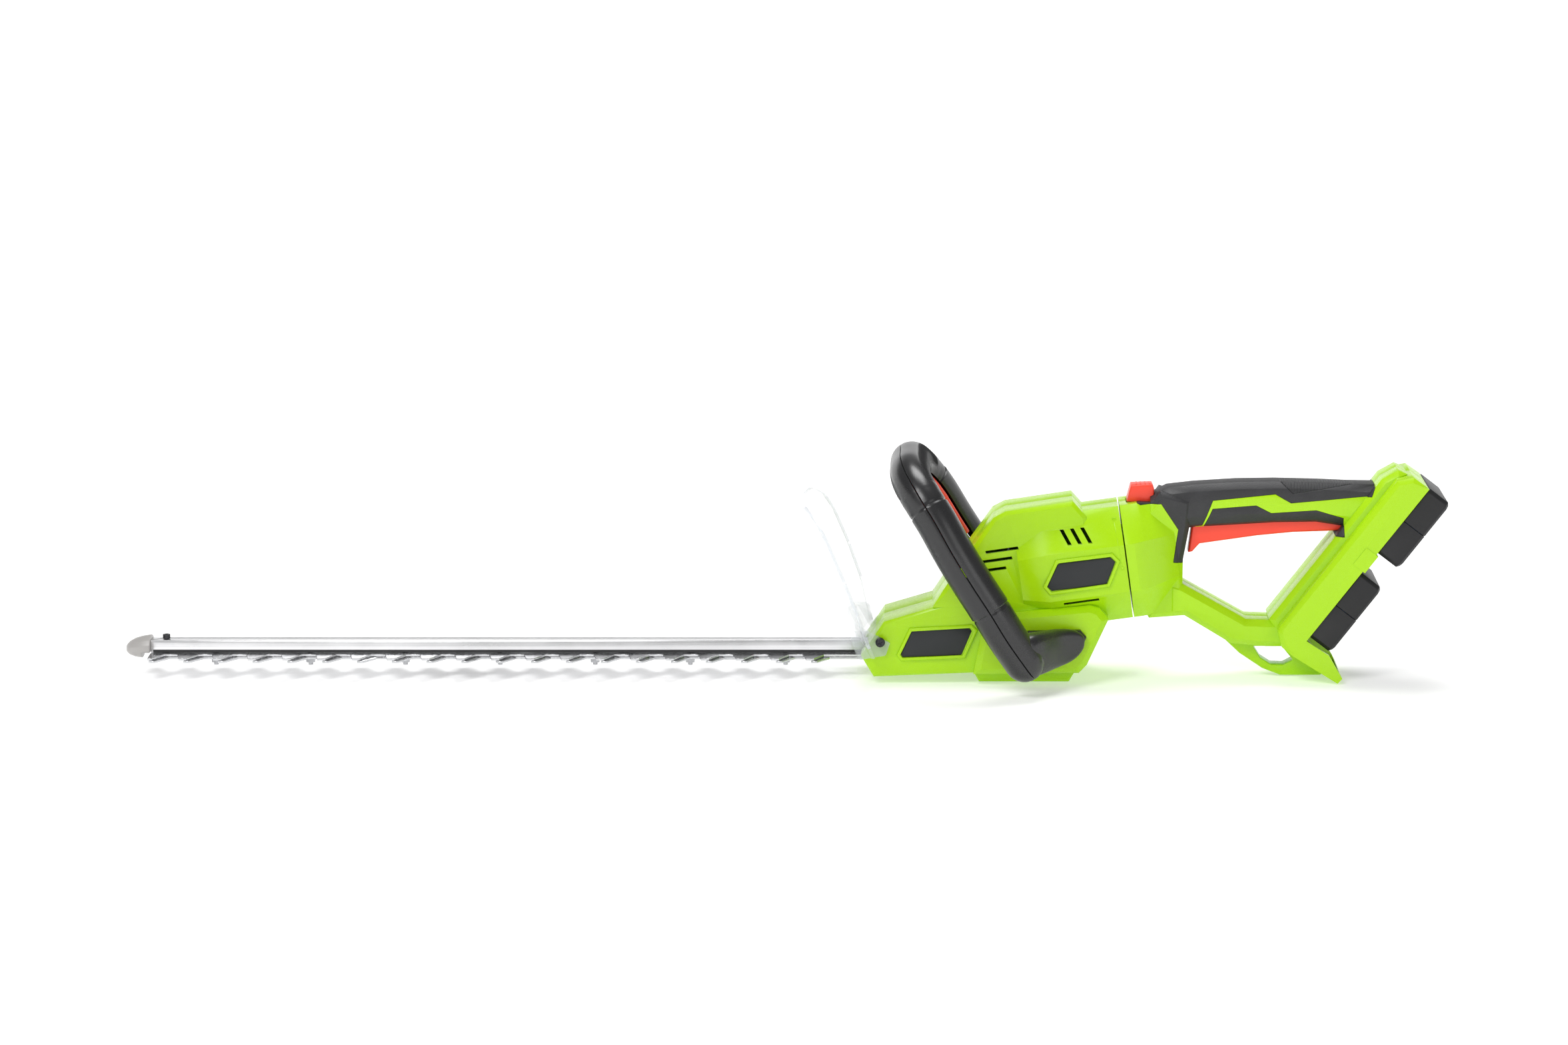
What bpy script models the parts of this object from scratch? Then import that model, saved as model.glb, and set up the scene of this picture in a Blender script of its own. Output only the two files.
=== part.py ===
"""Cordless hedge trimmer: swivelling rear handle, loop front handle, two slide-on battery packs.

The blades run along -X, +Z is up and -Y is the user's left. The origin is the middle of the front
foot's flat underside. Every solid is closed; all lengths in the file are metres.
"""

import math

import bmesh
import bpy
from mathutils import Matrix, Vector

MM = 0.001

# Fits
FIT = 0.3 * MM            # gap between pieces that rest on each other
RUN = 0.6 * MM            # gap around pieces that slide or turn
WALL = 3.0 * MM           # moulded casing wall

# Cutting blades and rail
BLADE_END_X = -728.0 * MM
TOOTH_PITCH = 29.0 * MM
TOOTH_END_X = -170.0 * MM   # no tooth beyond this, towards the casing
FIRST_TIP_X = BLADE_END_X + 4.0 * MM
TOOTH_COUNT = 1 + int((TOOTH_END_X - FIRST_TIP_X) / TOOTH_PITCH)
BAND_HALF = 13.0 * MM
TIP_HALF = 28.0 * MM
BLADE_THICK = 2.0 * MM
BLADE_BASE_Z = 15.0 * MM
STROKE = 14.0 * MM        # full travel of one blade
UPPER_TOOTH = (-9.7 * MM, -6.4 * MM, -0.1 * MM, 7.8 * MM)   # root, tip, tip, root along X
LOWER_TOOTH = (0.5 * MM, -2.6 * MM, 2.6 * MM, 12.5 * MM)
RAIL_HEIGHT = 10.0 * MM
RAIL_TOP_HALF = 6.0 * MM
RAIL_BASE_HALF = 8.0 * MM
RAIL_REAR_X = -60.0 * MM
NOSE_BOLT_X = BLADE_END_X + 12.3 * MM
CAP_LENGTH = 21.0 * MM
CAP_HALF = 13.0 * MM
BOLT_COUNT = 7
FIRST_BOLT_X = BLADE_END_X + 53.5 * MM
LAST_BOLT_X = -197.5 * MM
BOLT_PITCH = (LAST_BOLT_X - FIRST_BOLT_X) / (BOLT_COUNT - 1)
BOLT_RADIUS = 2.0 * MM
NUT_FLAT = 7.3 * MM

# Gear drive
CRANK_X = -12.0 * MM
GEAR_TEETH = 45
PINION_TEETH = 9
GEAR_MODULE = 1.074 * MM
GEAR_THICK = 7.0 * MM
ECCENTRIC_RADIUS = 12.0 * MM
CRANK_PIN_RADIUS = 3.0 * MM
MOTOR_RADIUS = 21.0 * MM
MOTOR_LENGTH = 70.0 * MM
SHAFT_RADIUS = 1.6 * MM
FAN_RADIUS = 19.0 * MM

# Casing
NOSE_HALF = 36.0 * MM
GEARBOX_HALF = 46.0 * MM
DOME_TOP_HALF = 28.0 * MM
DOME_TOP_Z = 146.0 * MM
DOME_BASE_Z = 66.0 * MM
FOOT_HALF = 31.0 * MM
COLLAR_HALF = 47.15 * MM  # octagonal collar, centre to flat
SWIVEL_CENTRE = Vector((84.2, 0.0, 99.05)) * MM
SWIVEL_TILT = math.radians(7.8)
HUB_RADIUS = 28.0 * MM
HUB_BORE = 22.0 * MM
PLATE_THICK = 1.1 * MM
SCREW_HEAD = 3.7 * MM

# Loop handle
LOOP_RADIUS = 16.5 * MM
LOOP_WALL = 2.8 * MM
LOOP_TILT = math.radians(60.0)
SWITCH_SLOT = math.radians(29.0)
SWITCH_HALF = 6.4 * MM
SWITCH_TRAVEL = 3.5 * MM

# Rear handle
GRIP_SKIN = 2.4 * MM
STRUT_HALF = 20.0 * MM
TRIGGER_HALF = 8.0 * MM
LOCK_HALF = 9.0 * MM
SLOPE = math.radians(52.3)
SLOPE_FOOT = Vector((207.0, 0.0, 44.0)) * MM
PLATE_HALF = 38.0 * MM
BAY_FACE = 24.2 * MM      # battery side of the sloped plate
HANG_HALF = 8.0 * MM

# Battery packs, sizes along the slope, across it and outwards
PACK_LENGTH = 67.8 * MM
PACK_HALF = 36.5 * MM
PACK_PROUD = 21.8 * MM
PACK_PITCH = 88.6 * MM
LOWER_PACK_START = 12.6 * MM
PACK_WALL = 2.4 * MM
RAIL_INSET = 9.0 * MM
FLANGE_INSET = 5.0 * MM
LATCH_HALF = 6.0 * MM

# Heights that follow from the blade stack
UPPER_BLADE_Z = BLADE_BASE_Z + BLADE_THICK + FIT
BLADES_TOP_Z = UPPER_BLADE_Z + BLADE_THICK
RAIL_Z = BLADES_TOP_Z + 0.5 * MM
RAIL_TOP_Z = RAIL_Z + RAIL_HEIGHT
GEAR_Z = BLADES_TOP_Z + 1.6 * MM
DRIVE_PLATE_Z = RAIL_TOP_Z + FIT
DRIVE_PLATE_THICK = 4.0 * MM
MOTOR_Z = DRIVE_PLATE_Z + DRIVE_PLATE_THICK + FIT
GEAR_RADIUS = GEAR_MODULE * GEAR_TEETH / 2
PINION_RADIUS = GEAR_MODULE * PINION_TEETH / 2
MOTOR_X = CRANK_X + GEAR_RADIUS + PINION_RADIUS
SHAFT_TOP_Z = MOTOR_Z + MOTOR_LENGTH + 9.0 * MM
CRANK_OFFSET = STROKE / 2
BLADE_TRAVEL = STROKE / 2

FINISHES = {
    "lime": ((0.52, 0.80, 0.02), 0.0, 0.34),
    "black": ((0.030, 0.030, 0.032), 0.0, 0.45),
    "rubber": ((0.035, 0.034, 0.036), 0.0, 0.6),
    "red": ((0.90, 0.05, 0.03), 0.0, 0.32),
    "clear": ((0.85, 0.88, 0.90), 0.0, 0.08),
    "grey": ((0.42, 0.40, 0.39), 0.0, 0.5),
    "aluminium": ((0.88, 0.88, 0.89), 1.0, 0.35),
    "steel": ((0.55, 0.56, 0.58), 1.0, 0.3),
    "dark_steel": ((0.05, 0.05, 0.055), 0.8, 0.4),
    "label": ((0.04, 0.042, 0.05), 0.0, 0.4),
    "board": ((0.02, 0.20, 0.08), 0.0, 0.5),
    "cell": ((0.05, 0.25, 0.55), 0.0, 0.4),
}


# ---------------------------------------------------------------- modelling helpers

def weld(mesh):
    """Merge corners that lie closer than a mould could show."""
    shape = bmesh.new()
    shape.from_mesh(mesh)
    bmesh.ops.remove_doubles(shape, verts=shape.verts, dist=0.002 * MM)
    bmesh.ops.dissolve_degenerate(shape, edges=shape.edges, dist=0.002 * MM)
    shape.to_mesh(mesh)
    shape.free()


def finish(name):
    """Principled material for one of the named finishes."""
    if name in bpy.data.materials:
        return bpy.data.materials[name]
    colour, metallic, roughness = FINISHES[name]
    material = bpy.data.materials.new(name)
    material.use_nodes = True
    shader = material.node_tree.nodes["Principled BSDF"]
    shader.inputs["Base Color"].default_value = (*colour, 1.0)
    shader.inputs["Metallic"].default_value = metallic
    shader.inputs["Roughness"].default_value = roughness
    return material


def solid(name, points, faces):
    """Object from points and faces, with its faces turned outwards."""
    mesh = bpy.data.meshes.new(name)
    mesh.from_pydata([tuple(p) for p in points], [], faces)
    shape = bmesh.new()
    shape.from_mesh(mesh)
    bmesh.ops.recalc_face_normals(shape, faces=shape.faces)
    if shape.calc_volume(signed=True) < 0:
        bmesh.ops.reverse_faces(shape, faces=shape.faces)
    bmesh.ops.connect_verts_nonplanar(shape, angle_limit=0.0002, faces=shape.faces)
    shape.to_mesh(mesh)
    shape.free()
    piece = bpy.data.objects.new(name, mesh)
    bpy.context.collection.objects.link(piece)
    return piece


def loft(name, rings, closed=False):
    """Solid through equal loops of points: capped at its ends, or closed into a ring."""
    count = len(rings[0])
    points = [point for ring in rings for point in ring]
    spans = len(rings) if closed else len(rings) - 1
    faces = []
    for span in range(spans):
        here, there = span * count, (span + 1) % len(rings) * count
        for i in range(count):
            j = (i + 1) % count
            faces.append((here + i, here + j, there + j, there + i))
    if not closed:
        faces.append(tuple(range(count)))
        faces.append(tuple(range(len(points) - count, len(points))))
    return solid(name, points, faces)


def slab(name, outline, low, high):
    """Outline in X and Z carried from y = low to y = high."""
    return loft(name, [[Vector((x, y, z)) for x, z in outline] for y in (low, high)])


def sheet(name, outline, low, high):
    """Outline in X and Y carried from z = low to z = high."""
    return loft(name, [[Vector((x, y, z)) for x, y in outline] for z in (low, high)])


def box(name, low, high):
    """Box between two corners."""
    outline = [(low[0], low[2]), (high[0], low[2]), (high[0], high[2]), (low[0], high[2])]
    return slab(name, outline, low[1], high[1])


def aim(base, axis):
    """Matrix that puts local +Z on the axis, with its origin at base."""
    turn = Vector((0, 0, 1)).rotation_difference(Vector(axis)).to_matrix().to_4x4()
    return Matrix.Translation(Vector(base)) @ turn


def turned(name, profile, base, axis=(0, 0, 1), steps=24, closed=False):
    """Profile of (height, radius) pairs turned about an axis; closed makes a hollow ring."""
    place = aim(base, axis)
    rings = []
    for height, radius in profile:
        ring = []
        for step in range(steps):
            angle = 2 * math.pi * (step + 0.5) / steps
            ring.append(place @ Vector((radius * math.cos(angle), radius * math.sin(angle), height)))
        rings.append(ring)
    return loft(name, rings, closed)


def washer(name, inner, outer, low, high, base, axis=(0, 0, 1), steps=24):
    """Flat ring with a square section."""
    profile = [(low, inner), (low, outer), (high, outer), (high, inner)]
    return turned(name, profile, base, axis, steps, closed=True)


def combine(piece, tool, operation, keep=False):
    """Apply a Boolean with a tool object, which is used up unless it is kept."""
    modifier = piece.modifiers.new("combine", "BOOLEAN")
    modifier.operation = operation
    modifier.solver = "EXACT"
    modifier.object = tool
    graph = bpy.context.evaluated_depsgraph_get()
    graph.update()
    mesh = bpy.data.meshes.new_from_object(piece.evaluated_get(graph))
    weld(mesh)
    piece.modifiers.clear()
    piece.data = mesh
    if not keep:
        bpy.data.objects.remove(tool)
    return piece


def cut(piece, *tools):
    for tool in tools:
        combine(piece, tool, "DIFFERENCE")
    return piece


def join(piece, *tools):
    for tool in tools:
        combine(piece, tool, "UNION")
    return piece


def copy_of(piece, name):
    """Independent copy of an object and its mesh."""
    twin = piece.copy()
    twin.data = piece.data.copy()
    twin.name = name
    bpy.context.collection.objects.link(twin)
    return twin


def outline(*points):
    """Outline given in millimetres."""
    return [(a * MM, b * MM) for a, b in points]


def inset(points, distance):
    """Outline moved inwards by a distance, whichever way round it runs."""
    area = sum(a[0] * b[1] - b[0] * a[1] for a, b in zip(points, points[1:] + points[:1]))
    side = 1 if area > 0 else -1
    moved = []
    for before, here, after in zip(points[-1:] + points[:-1], points, points[1:] + points[:1]):
        first = (Vector(here) - Vector(before)).normalized()
        second = (Vector(after) - Vector(here)).normalized()
        normal = Vector((-first.y - second.y, first.x + second.x)).normalized() * side
        reach = distance / max(0.3, normal.dot(Vector((-first.y, first.x)) * side))
        moved.append((here[0] + normal.x * reach, here[1] + normal.y * reach))
    return moved


def mirrored(points):
    """Second half of a symmetric outline in X and Y, in the order that closes the loop."""
    return points + [(x, -y) for x, y in reversed(points)]


def soft_slab(name, points, low, high, edge, square=lambda x, z: False):
    """Slab with flat chamfers along its outline, except at the corners that stay square."""
    drawn = [here if square(*here) else there for here, there in zip(points, inset(points, edge))]
    rings = ((low, drawn), (low + edge, points), (high - edge, points), (high, drawn))
    return loft(name, [[Vector((x, y, z)) for x, z in ring] for y, ring in rings])


def smooth_path(points, parts):
    """Catmull-Rom curve through points."""
    ends = [points[0] * 2 - points[1], *points, points[-1] * 2 - points[-2]]
    path = []
    for i in range(1, len(ends) - 2):
        a, b, c, d = ends[i - 1:i + 3]
        for part in range(parts):
            t = part / parts
            path.append(0.5 * (2 * b + (c - a) * t + (2 * a - 5 * b + 4 * c - d) * t ** 2
                               + (3 * b - a - 3 * c + d) * t ** 3))
    path.append(points[-1])
    return path


def spring(name, base, axis, length, radius, wire, turns):
    """Compression spring as a round wire along a helix."""
    place = aim(base, axis)
    steps, sides = 9, 5
    total = int(turns * steps)
    rings = []
    for step in range(total + 1):
        angle = 2 * math.pi * step / steps
        height = wire + (length - 2 * wire) * step / total
        outward = Vector((math.cos(angle), math.sin(angle), 0))
        ring = []
        for side in range(sides):
            around = 2 * math.pi * side / sides
            ring.append(place @ (outward * (radius + wire * math.cos(around))
                                 + Vector((0, 0, height + wire * math.sin(around)))))
        rings.append(ring)
    return loft(name, rings)


def toothed(name, teeth, root, tip, shares, low, high, centre, phase=0.0):
    """Straight-toothed wheel; shares are the tooth's widths at root and tip per tooth pitch."""
    points = []
    for tooth in range(teeth):
        for radius, share in ((root, -shares[0]), (tip, -shares[1]), (tip, shares[1]), (root, shares[0])):
            angle = 2 * math.pi * (tooth + phase + share / 2) / teeth
            points.append((centre[0] + radius * math.cos(angle), centre[1] + radius * math.sin(angle)))
    return sheet(name, points, low, high)


def publish(piece, name, finish_name, axis_empty=None):
    """Name a finished solid, give it its finish and hang it on the empty at its joint's axis."""
    piece.name = name
    piece.data.name = name
    piece.data.materials.clear()
    piece.data.materials.append(finish(finish_name))
    piece.data.shade_smooth()
    piece.data.set_sharp_from_angle(angle=math.radians(30))
    if axis_empty is not None:
        piece.parent = axis_empty
        piece.matrix_parent_inverse = axis_empty.matrix_world.inverted()
    return piece


def joint_empty(name, place, parent=None):
    """Empty on a joint's axis."""
    empty = bpy.data.objects.new(name, None)
    bpy.context.collection.objects.link(empty)
    empty.location = place
    bpy.context.view_layer.update()
    if parent is not None:
        empty.parent = parent
        empty.matrix_parent_inverse = parent.matrix_world.inverted()
    bpy.context.view_layer.update()
    return empty


def halves(piece, names, finish_name, axis_empty=None):
    """Split a casing on the middle plane into its left and right mouldings."""
    reach = 2.0
    right = copy_of(piece, names[1])
    cut(piece, box("half", (-reach, -FIT / 2, -reach), (reach, reach, reach)))
    cut(right, box("half", (-reach, -reach, -reach), (reach, FIT / 2, reach)))
    publish(piece, names[0], finish_name, axis_empty)
    publish(right, names[1], finish_name, axis_empty)


# ---------------------------------------------------------------- tilted and sloped frames

SWIVEL_AXIS = Vector((math.cos(SWIVEL_TILT), 0, math.sin(SWIVEL_TILT)))
SWIVEL_UP = Vector((-math.sin(SWIVEL_TILT), 0, math.cos(SWIVEL_TILT)))
SLOPE_UP = Vector((math.cos(SLOPE), 0, math.sin(SLOPE)))
SLOPE_OUT = Vector((math.sin(SLOPE), 0, -math.cos(SLOPE)))
LOOP_UP = Vector((-math.cos(LOOP_TILT), 0, math.sin(LOOP_TILT)))
LOOP_FRONT = Vector((-math.sin(LOOP_TILT), 0, -math.cos(LOOP_TILT)))


def on_swivel(along, side, up):
    """Point at a distance along the swivel axis, across it and above it."""
    return SWIVEL_CENTRE + SWIVEL_AXIS * along + Vector((0, side, 0)) + SWIVEL_UP * up


def octagon(along, half_width, half_height, corner=math.tan(math.pi / 8)):
    """Eight-cornered ring square to the swivel axis."""
    wide, tall = half_width * corner, half_height * corner
    corners = [(half_width, tall), (wide, half_height), (-wide, half_height), (-half_width, tall),
               (-half_width, -tall), (-wide, -half_height), (wide, -half_height), (half_width, -tall)]
    return [on_swivel(along, side, up) for side, up in corners]


def on_slope(up, out):
    """X and Z of a point of the sloped battery plate."""
    point = SLOPE_FOOT + SLOPE_UP * up + SLOPE_OUT * out
    return (point.x, point.z)


def slope_box(name, up, side, out):
    """Box square to the sloped plate, from (low, high) pairs along, across and outwards."""
    corners = [(up[0], out[0]), (up[1], out[0]), (up[1], out[1]), (up[0], out[1])]
    return slab(name, [on_slope(*c) for c in corners], side[0], side[1])


# ---------------------------------------------------------------- blades, rail and drive

def tooth_side(tooth):
    """One edge of a blade from its free end to its last tooth."""
    root_front, tip_front, tip_rear, root_rear = tooth
    points = []
    for number in range(TOOTH_COUNT):
        x = FIRST_TIP_X + number * TOOTH_PITCH
        points += [(max(x + root_front, BLADE_END_X), BAND_HALF),
                   (max(x + tip_front, BLADE_END_X + 0.5 * MM), TIP_HALF),
                   (x + tip_rear, TIP_HALF), (x + root_rear, BAND_HALF)]
    if points[0][0] > BLADE_END_X:
        points.insert(0, (BLADE_END_X, BAND_HALF))
    return points


def yoke_opening():
    """Half sizes of the window in which an eccentric turns while the blade travels."""
    length = ECCENTRIC_RADIUS + CRANK_OFFSET + BLADE_TRAVEL + RUN
    width = ECCENTRIC_RADIUS + CRANK_OFFSET + RUN
    return length, width


def blade(name, tooth, base_z, slide):
    """Blade with teeth on both edges, slots for the rail bolts and a drive window."""
    length, width = yoke_opening()
    rim = 7.0 * MM
    edge = tooth_side(tooth) + [
        (CRANK_X - length - rim - 8 * MM, BAND_HALF), (CRANK_X - length - rim, width + rim),
        (CRANK_X + length + rim, width + rim)]
    piece = sheet(name, mirrored(edge), base_z, base_z + BLADE_THICK)
    window = mirrored([(CRANK_X - length, width - 8 * MM), (CRANK_X - length + 8 * MM, width),
                       (CRANK_X + length - 8 * MM, width), (CRANK_X + length, width - 8 * MM)])
    cut(piece, sheet("window", window, base_z - MM, base_z + BLADE_THICK + MM))
    slot_half = BOLT_RADIUS + RUN
    for number in range(BOLT_COUNT):
        x = FIRST_BOLT_X + number * BOLT_PITCH
        reach = BLADE_TRAVEL + slot_half
        slot = mirrored([(x - reach, slot_half / 2), (x - reach + slot_half / 2, slot_half),
                         (x + reach - slot_half / 2, slot_half), (x + reach, slot_half / 2)])
        cut(piece, sheet("slot", slot, base_z - MM, base_z + BLADE_THICK + MM))
    return publish(piece, name, "steel", slide)


def blade_rail():
    """Aluminium rail above the blades, with a channel for the bolt heads."""
    rings = []
    for x in (BLADE_END_X, RAIL_REAR_X):
        half = [(RAIL_BASE_HALF, RAIL_Z), (RAIL_TOP_HALF + MM, RAIL_TOP_Z - 2 * MM), (RAIL_TOP_HALF, RAIL_TOP_Z)]
        ring = [Vector((x, y, z)) for y, z in half] + [Vector((x, -y, z)) for y, z in reversed(half)]
        rings.append(ring)
    rail = loft("rail", rings)
    channel = BOLT_RADIUS + 2.4 * MM
    cut(rail, box("channel", (BLADE_END_X - MM, -channel, RAIL_Z + 3 * MM), (RAIL_REAR_X + MM, channel, RAIL_TOP_Z - 2 * MM)))
    for number in range(BOLT_COUNT):
        x = FIRST_BOLT_X + number * BOLT_PITCH
        cut(rail, turned("hole", [(0, BOLT_RADIUS + FIT), (4 * MM, BOLT_RADIUS + FIT)], (x, 0, RAIL_Z - 0.5 * MM), steps=12))
    for x in (*rail_screw_places(), NOSE_BOLT_X):
        cut(rail, turned("hole", [(0, BOLT_RADIUS + FIT), (RAIL_HEIGHT, BOLT_RADIUS + FIT)], (x, 0, RAIL_Z + 2 * MM), steps=12))
    publish(rail, "blade_rail", "aluminium")


def blade_bolts():
    """Bolts that hang in the rail and carry both blades on a washer and nut."""
    head_z = RAIL_Z + 3 * MM + FIT
    for number in range(BOLT_COUNT):
        x = FIRST_BOLT_X + number * BOLT_PITCH
        end_z = BLADE_BASE_Z - 7.2 * MM
        nut_z = BLADE_BASE_Z - FIT
        profile = [(end_z, BOLT_RADIUS), (nut_z - 5 * MM, BOLT_RADIUS), (nut_z - 1.0 * MM, BOLT_RADIUS),
                   (nut_z - 1.0 * MM, NUT_FLAT * 0.62), (nut_z, NUT_FLAT * 0.62), (nut_z, BOLT_RADIUS),
                   (head_z, BOLT_RADIUS), (head_z, BOLT_RADIUS + 1.8 * MM), (head_z + 2.2 * MM, BOLT_RADIUS + 1.8 * MM)]
        bolt = turned("bolt", profile, (x, 0, 0), steps=12)
        nut_radius = NUT_FLAT / 2 / math.cos(math.pi / 6)
        nut = turned("nut", [(nut_z - 4.6 * MM, nut_radius), (nut_z - 0.6 * MM, nut_radius)], (x, 0, 0), steps=6)
        join(bolt, nut)
        publish(bolt, f"blade_bolt_{number + 1}", "steel")


def rail_screw_places():
    return (RAIL_REAR_X - 30 * MM, RAIL_REAR_X - 12 * MM)


def cap_screw(name, base, axis, reach, finish_name="dark_steel"):
    """Pan-head screw with a cross recess; base is the underside of its head."""
    profile = [(-reach, 1.2 * MM), (-reach + 1.5 * MM, 1.7 * MM), (0, 1.7 * MM), (0, SCREW_HEAD),
               (1.6 * MM, SCREW_HEAD * 0.92), (2.5 * MM, SCREW_HEAD * 0.6)]
    screw = turned("screw", profile, base, axis, 12)
    place = aim(base, axis)
    for along, across in ((2.2, 0.45), (0.45, 2.2)):
        corners = [(-along, -across), (along, -across), (along, across), (-along, across)]
        rings = [[place @ Vector((x * MM, y * MM, height * MM)) for x, y in corners] for height in (1.2, 3.5)]
        cut(screw, loft("recess", rings))
    return publish(screw, name, finish_name)


def nose_parts():
    """Plastic nose that covers the rail's free end, and the bolt behind it."""
    rear = BLADE_END_X - FIT
    front = rear - CAP_LENGTH
    middle_z = RAIL_Z + 0.35 * RAIL_HEIGHT
    stations = [(0.0, 0.30, 0.34, -1.5), (0.12, 0.58, 0.60, -1.2), (0.35, 0.82, 0.84, -0.8),
                (0.62, 0.95, 0.96, -0.3), (1.0, 1.0, 1.0, 0.6)]
    rings = []
    for share, wide, tall, rise in stations:
        x = front + CAP_LENGTH * share
        half_z = 9.4 * MM * tall
        ring = []
        for step in range(12):
            angle = 2 * math.pi * (step + 0.5) / 12
            y = CAP_HALF * wide * math.cos(angle)
            z = middle_z + rise * MM + half_z * math.sin(angle)
            ring.append(Vector((x, y, z)))
        rings.append(ring)
    cap = loft("cap", rings)
    clear_x = BLADE_END_X - BLADE_TRAVEL - RUN
    cut(cap, box("blade room", (clear_x, -0.1, 0), (0, 0.1, BLADES_TOP_Z + RUN)))
    tongue = box("tongue", (rear - 3 * MM, -RAIL_TOP_HALF + 2.2 * MM, RAIL_Z + 3 * MM + FIT),
                 (rear + 10 * MM, RAIL_TOP_HALF - 2.2 * MM, RAIL_TOP_Z - 2 * MM - FIT))
    join(cap, tongue)
    publish(cap, "nose_cap", "grey")
    head = [(RAIL_TOP_Z - 2.0 * MM, BOLT_RADIUS - 0.1 * MM), (RAIL_TOP_Z + FIT, BOLT_RADIUS - 0.1 * MM),
            (RAIL_TOP_Z + FIT, 3.1 * MM), (RAIL_TOP_Z + 3.8 * MM, 3.1 * MM)]
    bolt = turned("bolt", head, (NOSE_BOLT_X, 0, 0), steps=12)
    cut(bolt, turned("socket", [(RAIL_TOP_Z + 1.8 * MM, 1.6 * MM), (RAIL_TOP_Z + 5 * MM, 1.6 * MM)], (NOSE_BOLT_X, 0, 0), steps=6))
    publish(bolt, "nose_bolt", "dark_steel")


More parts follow.
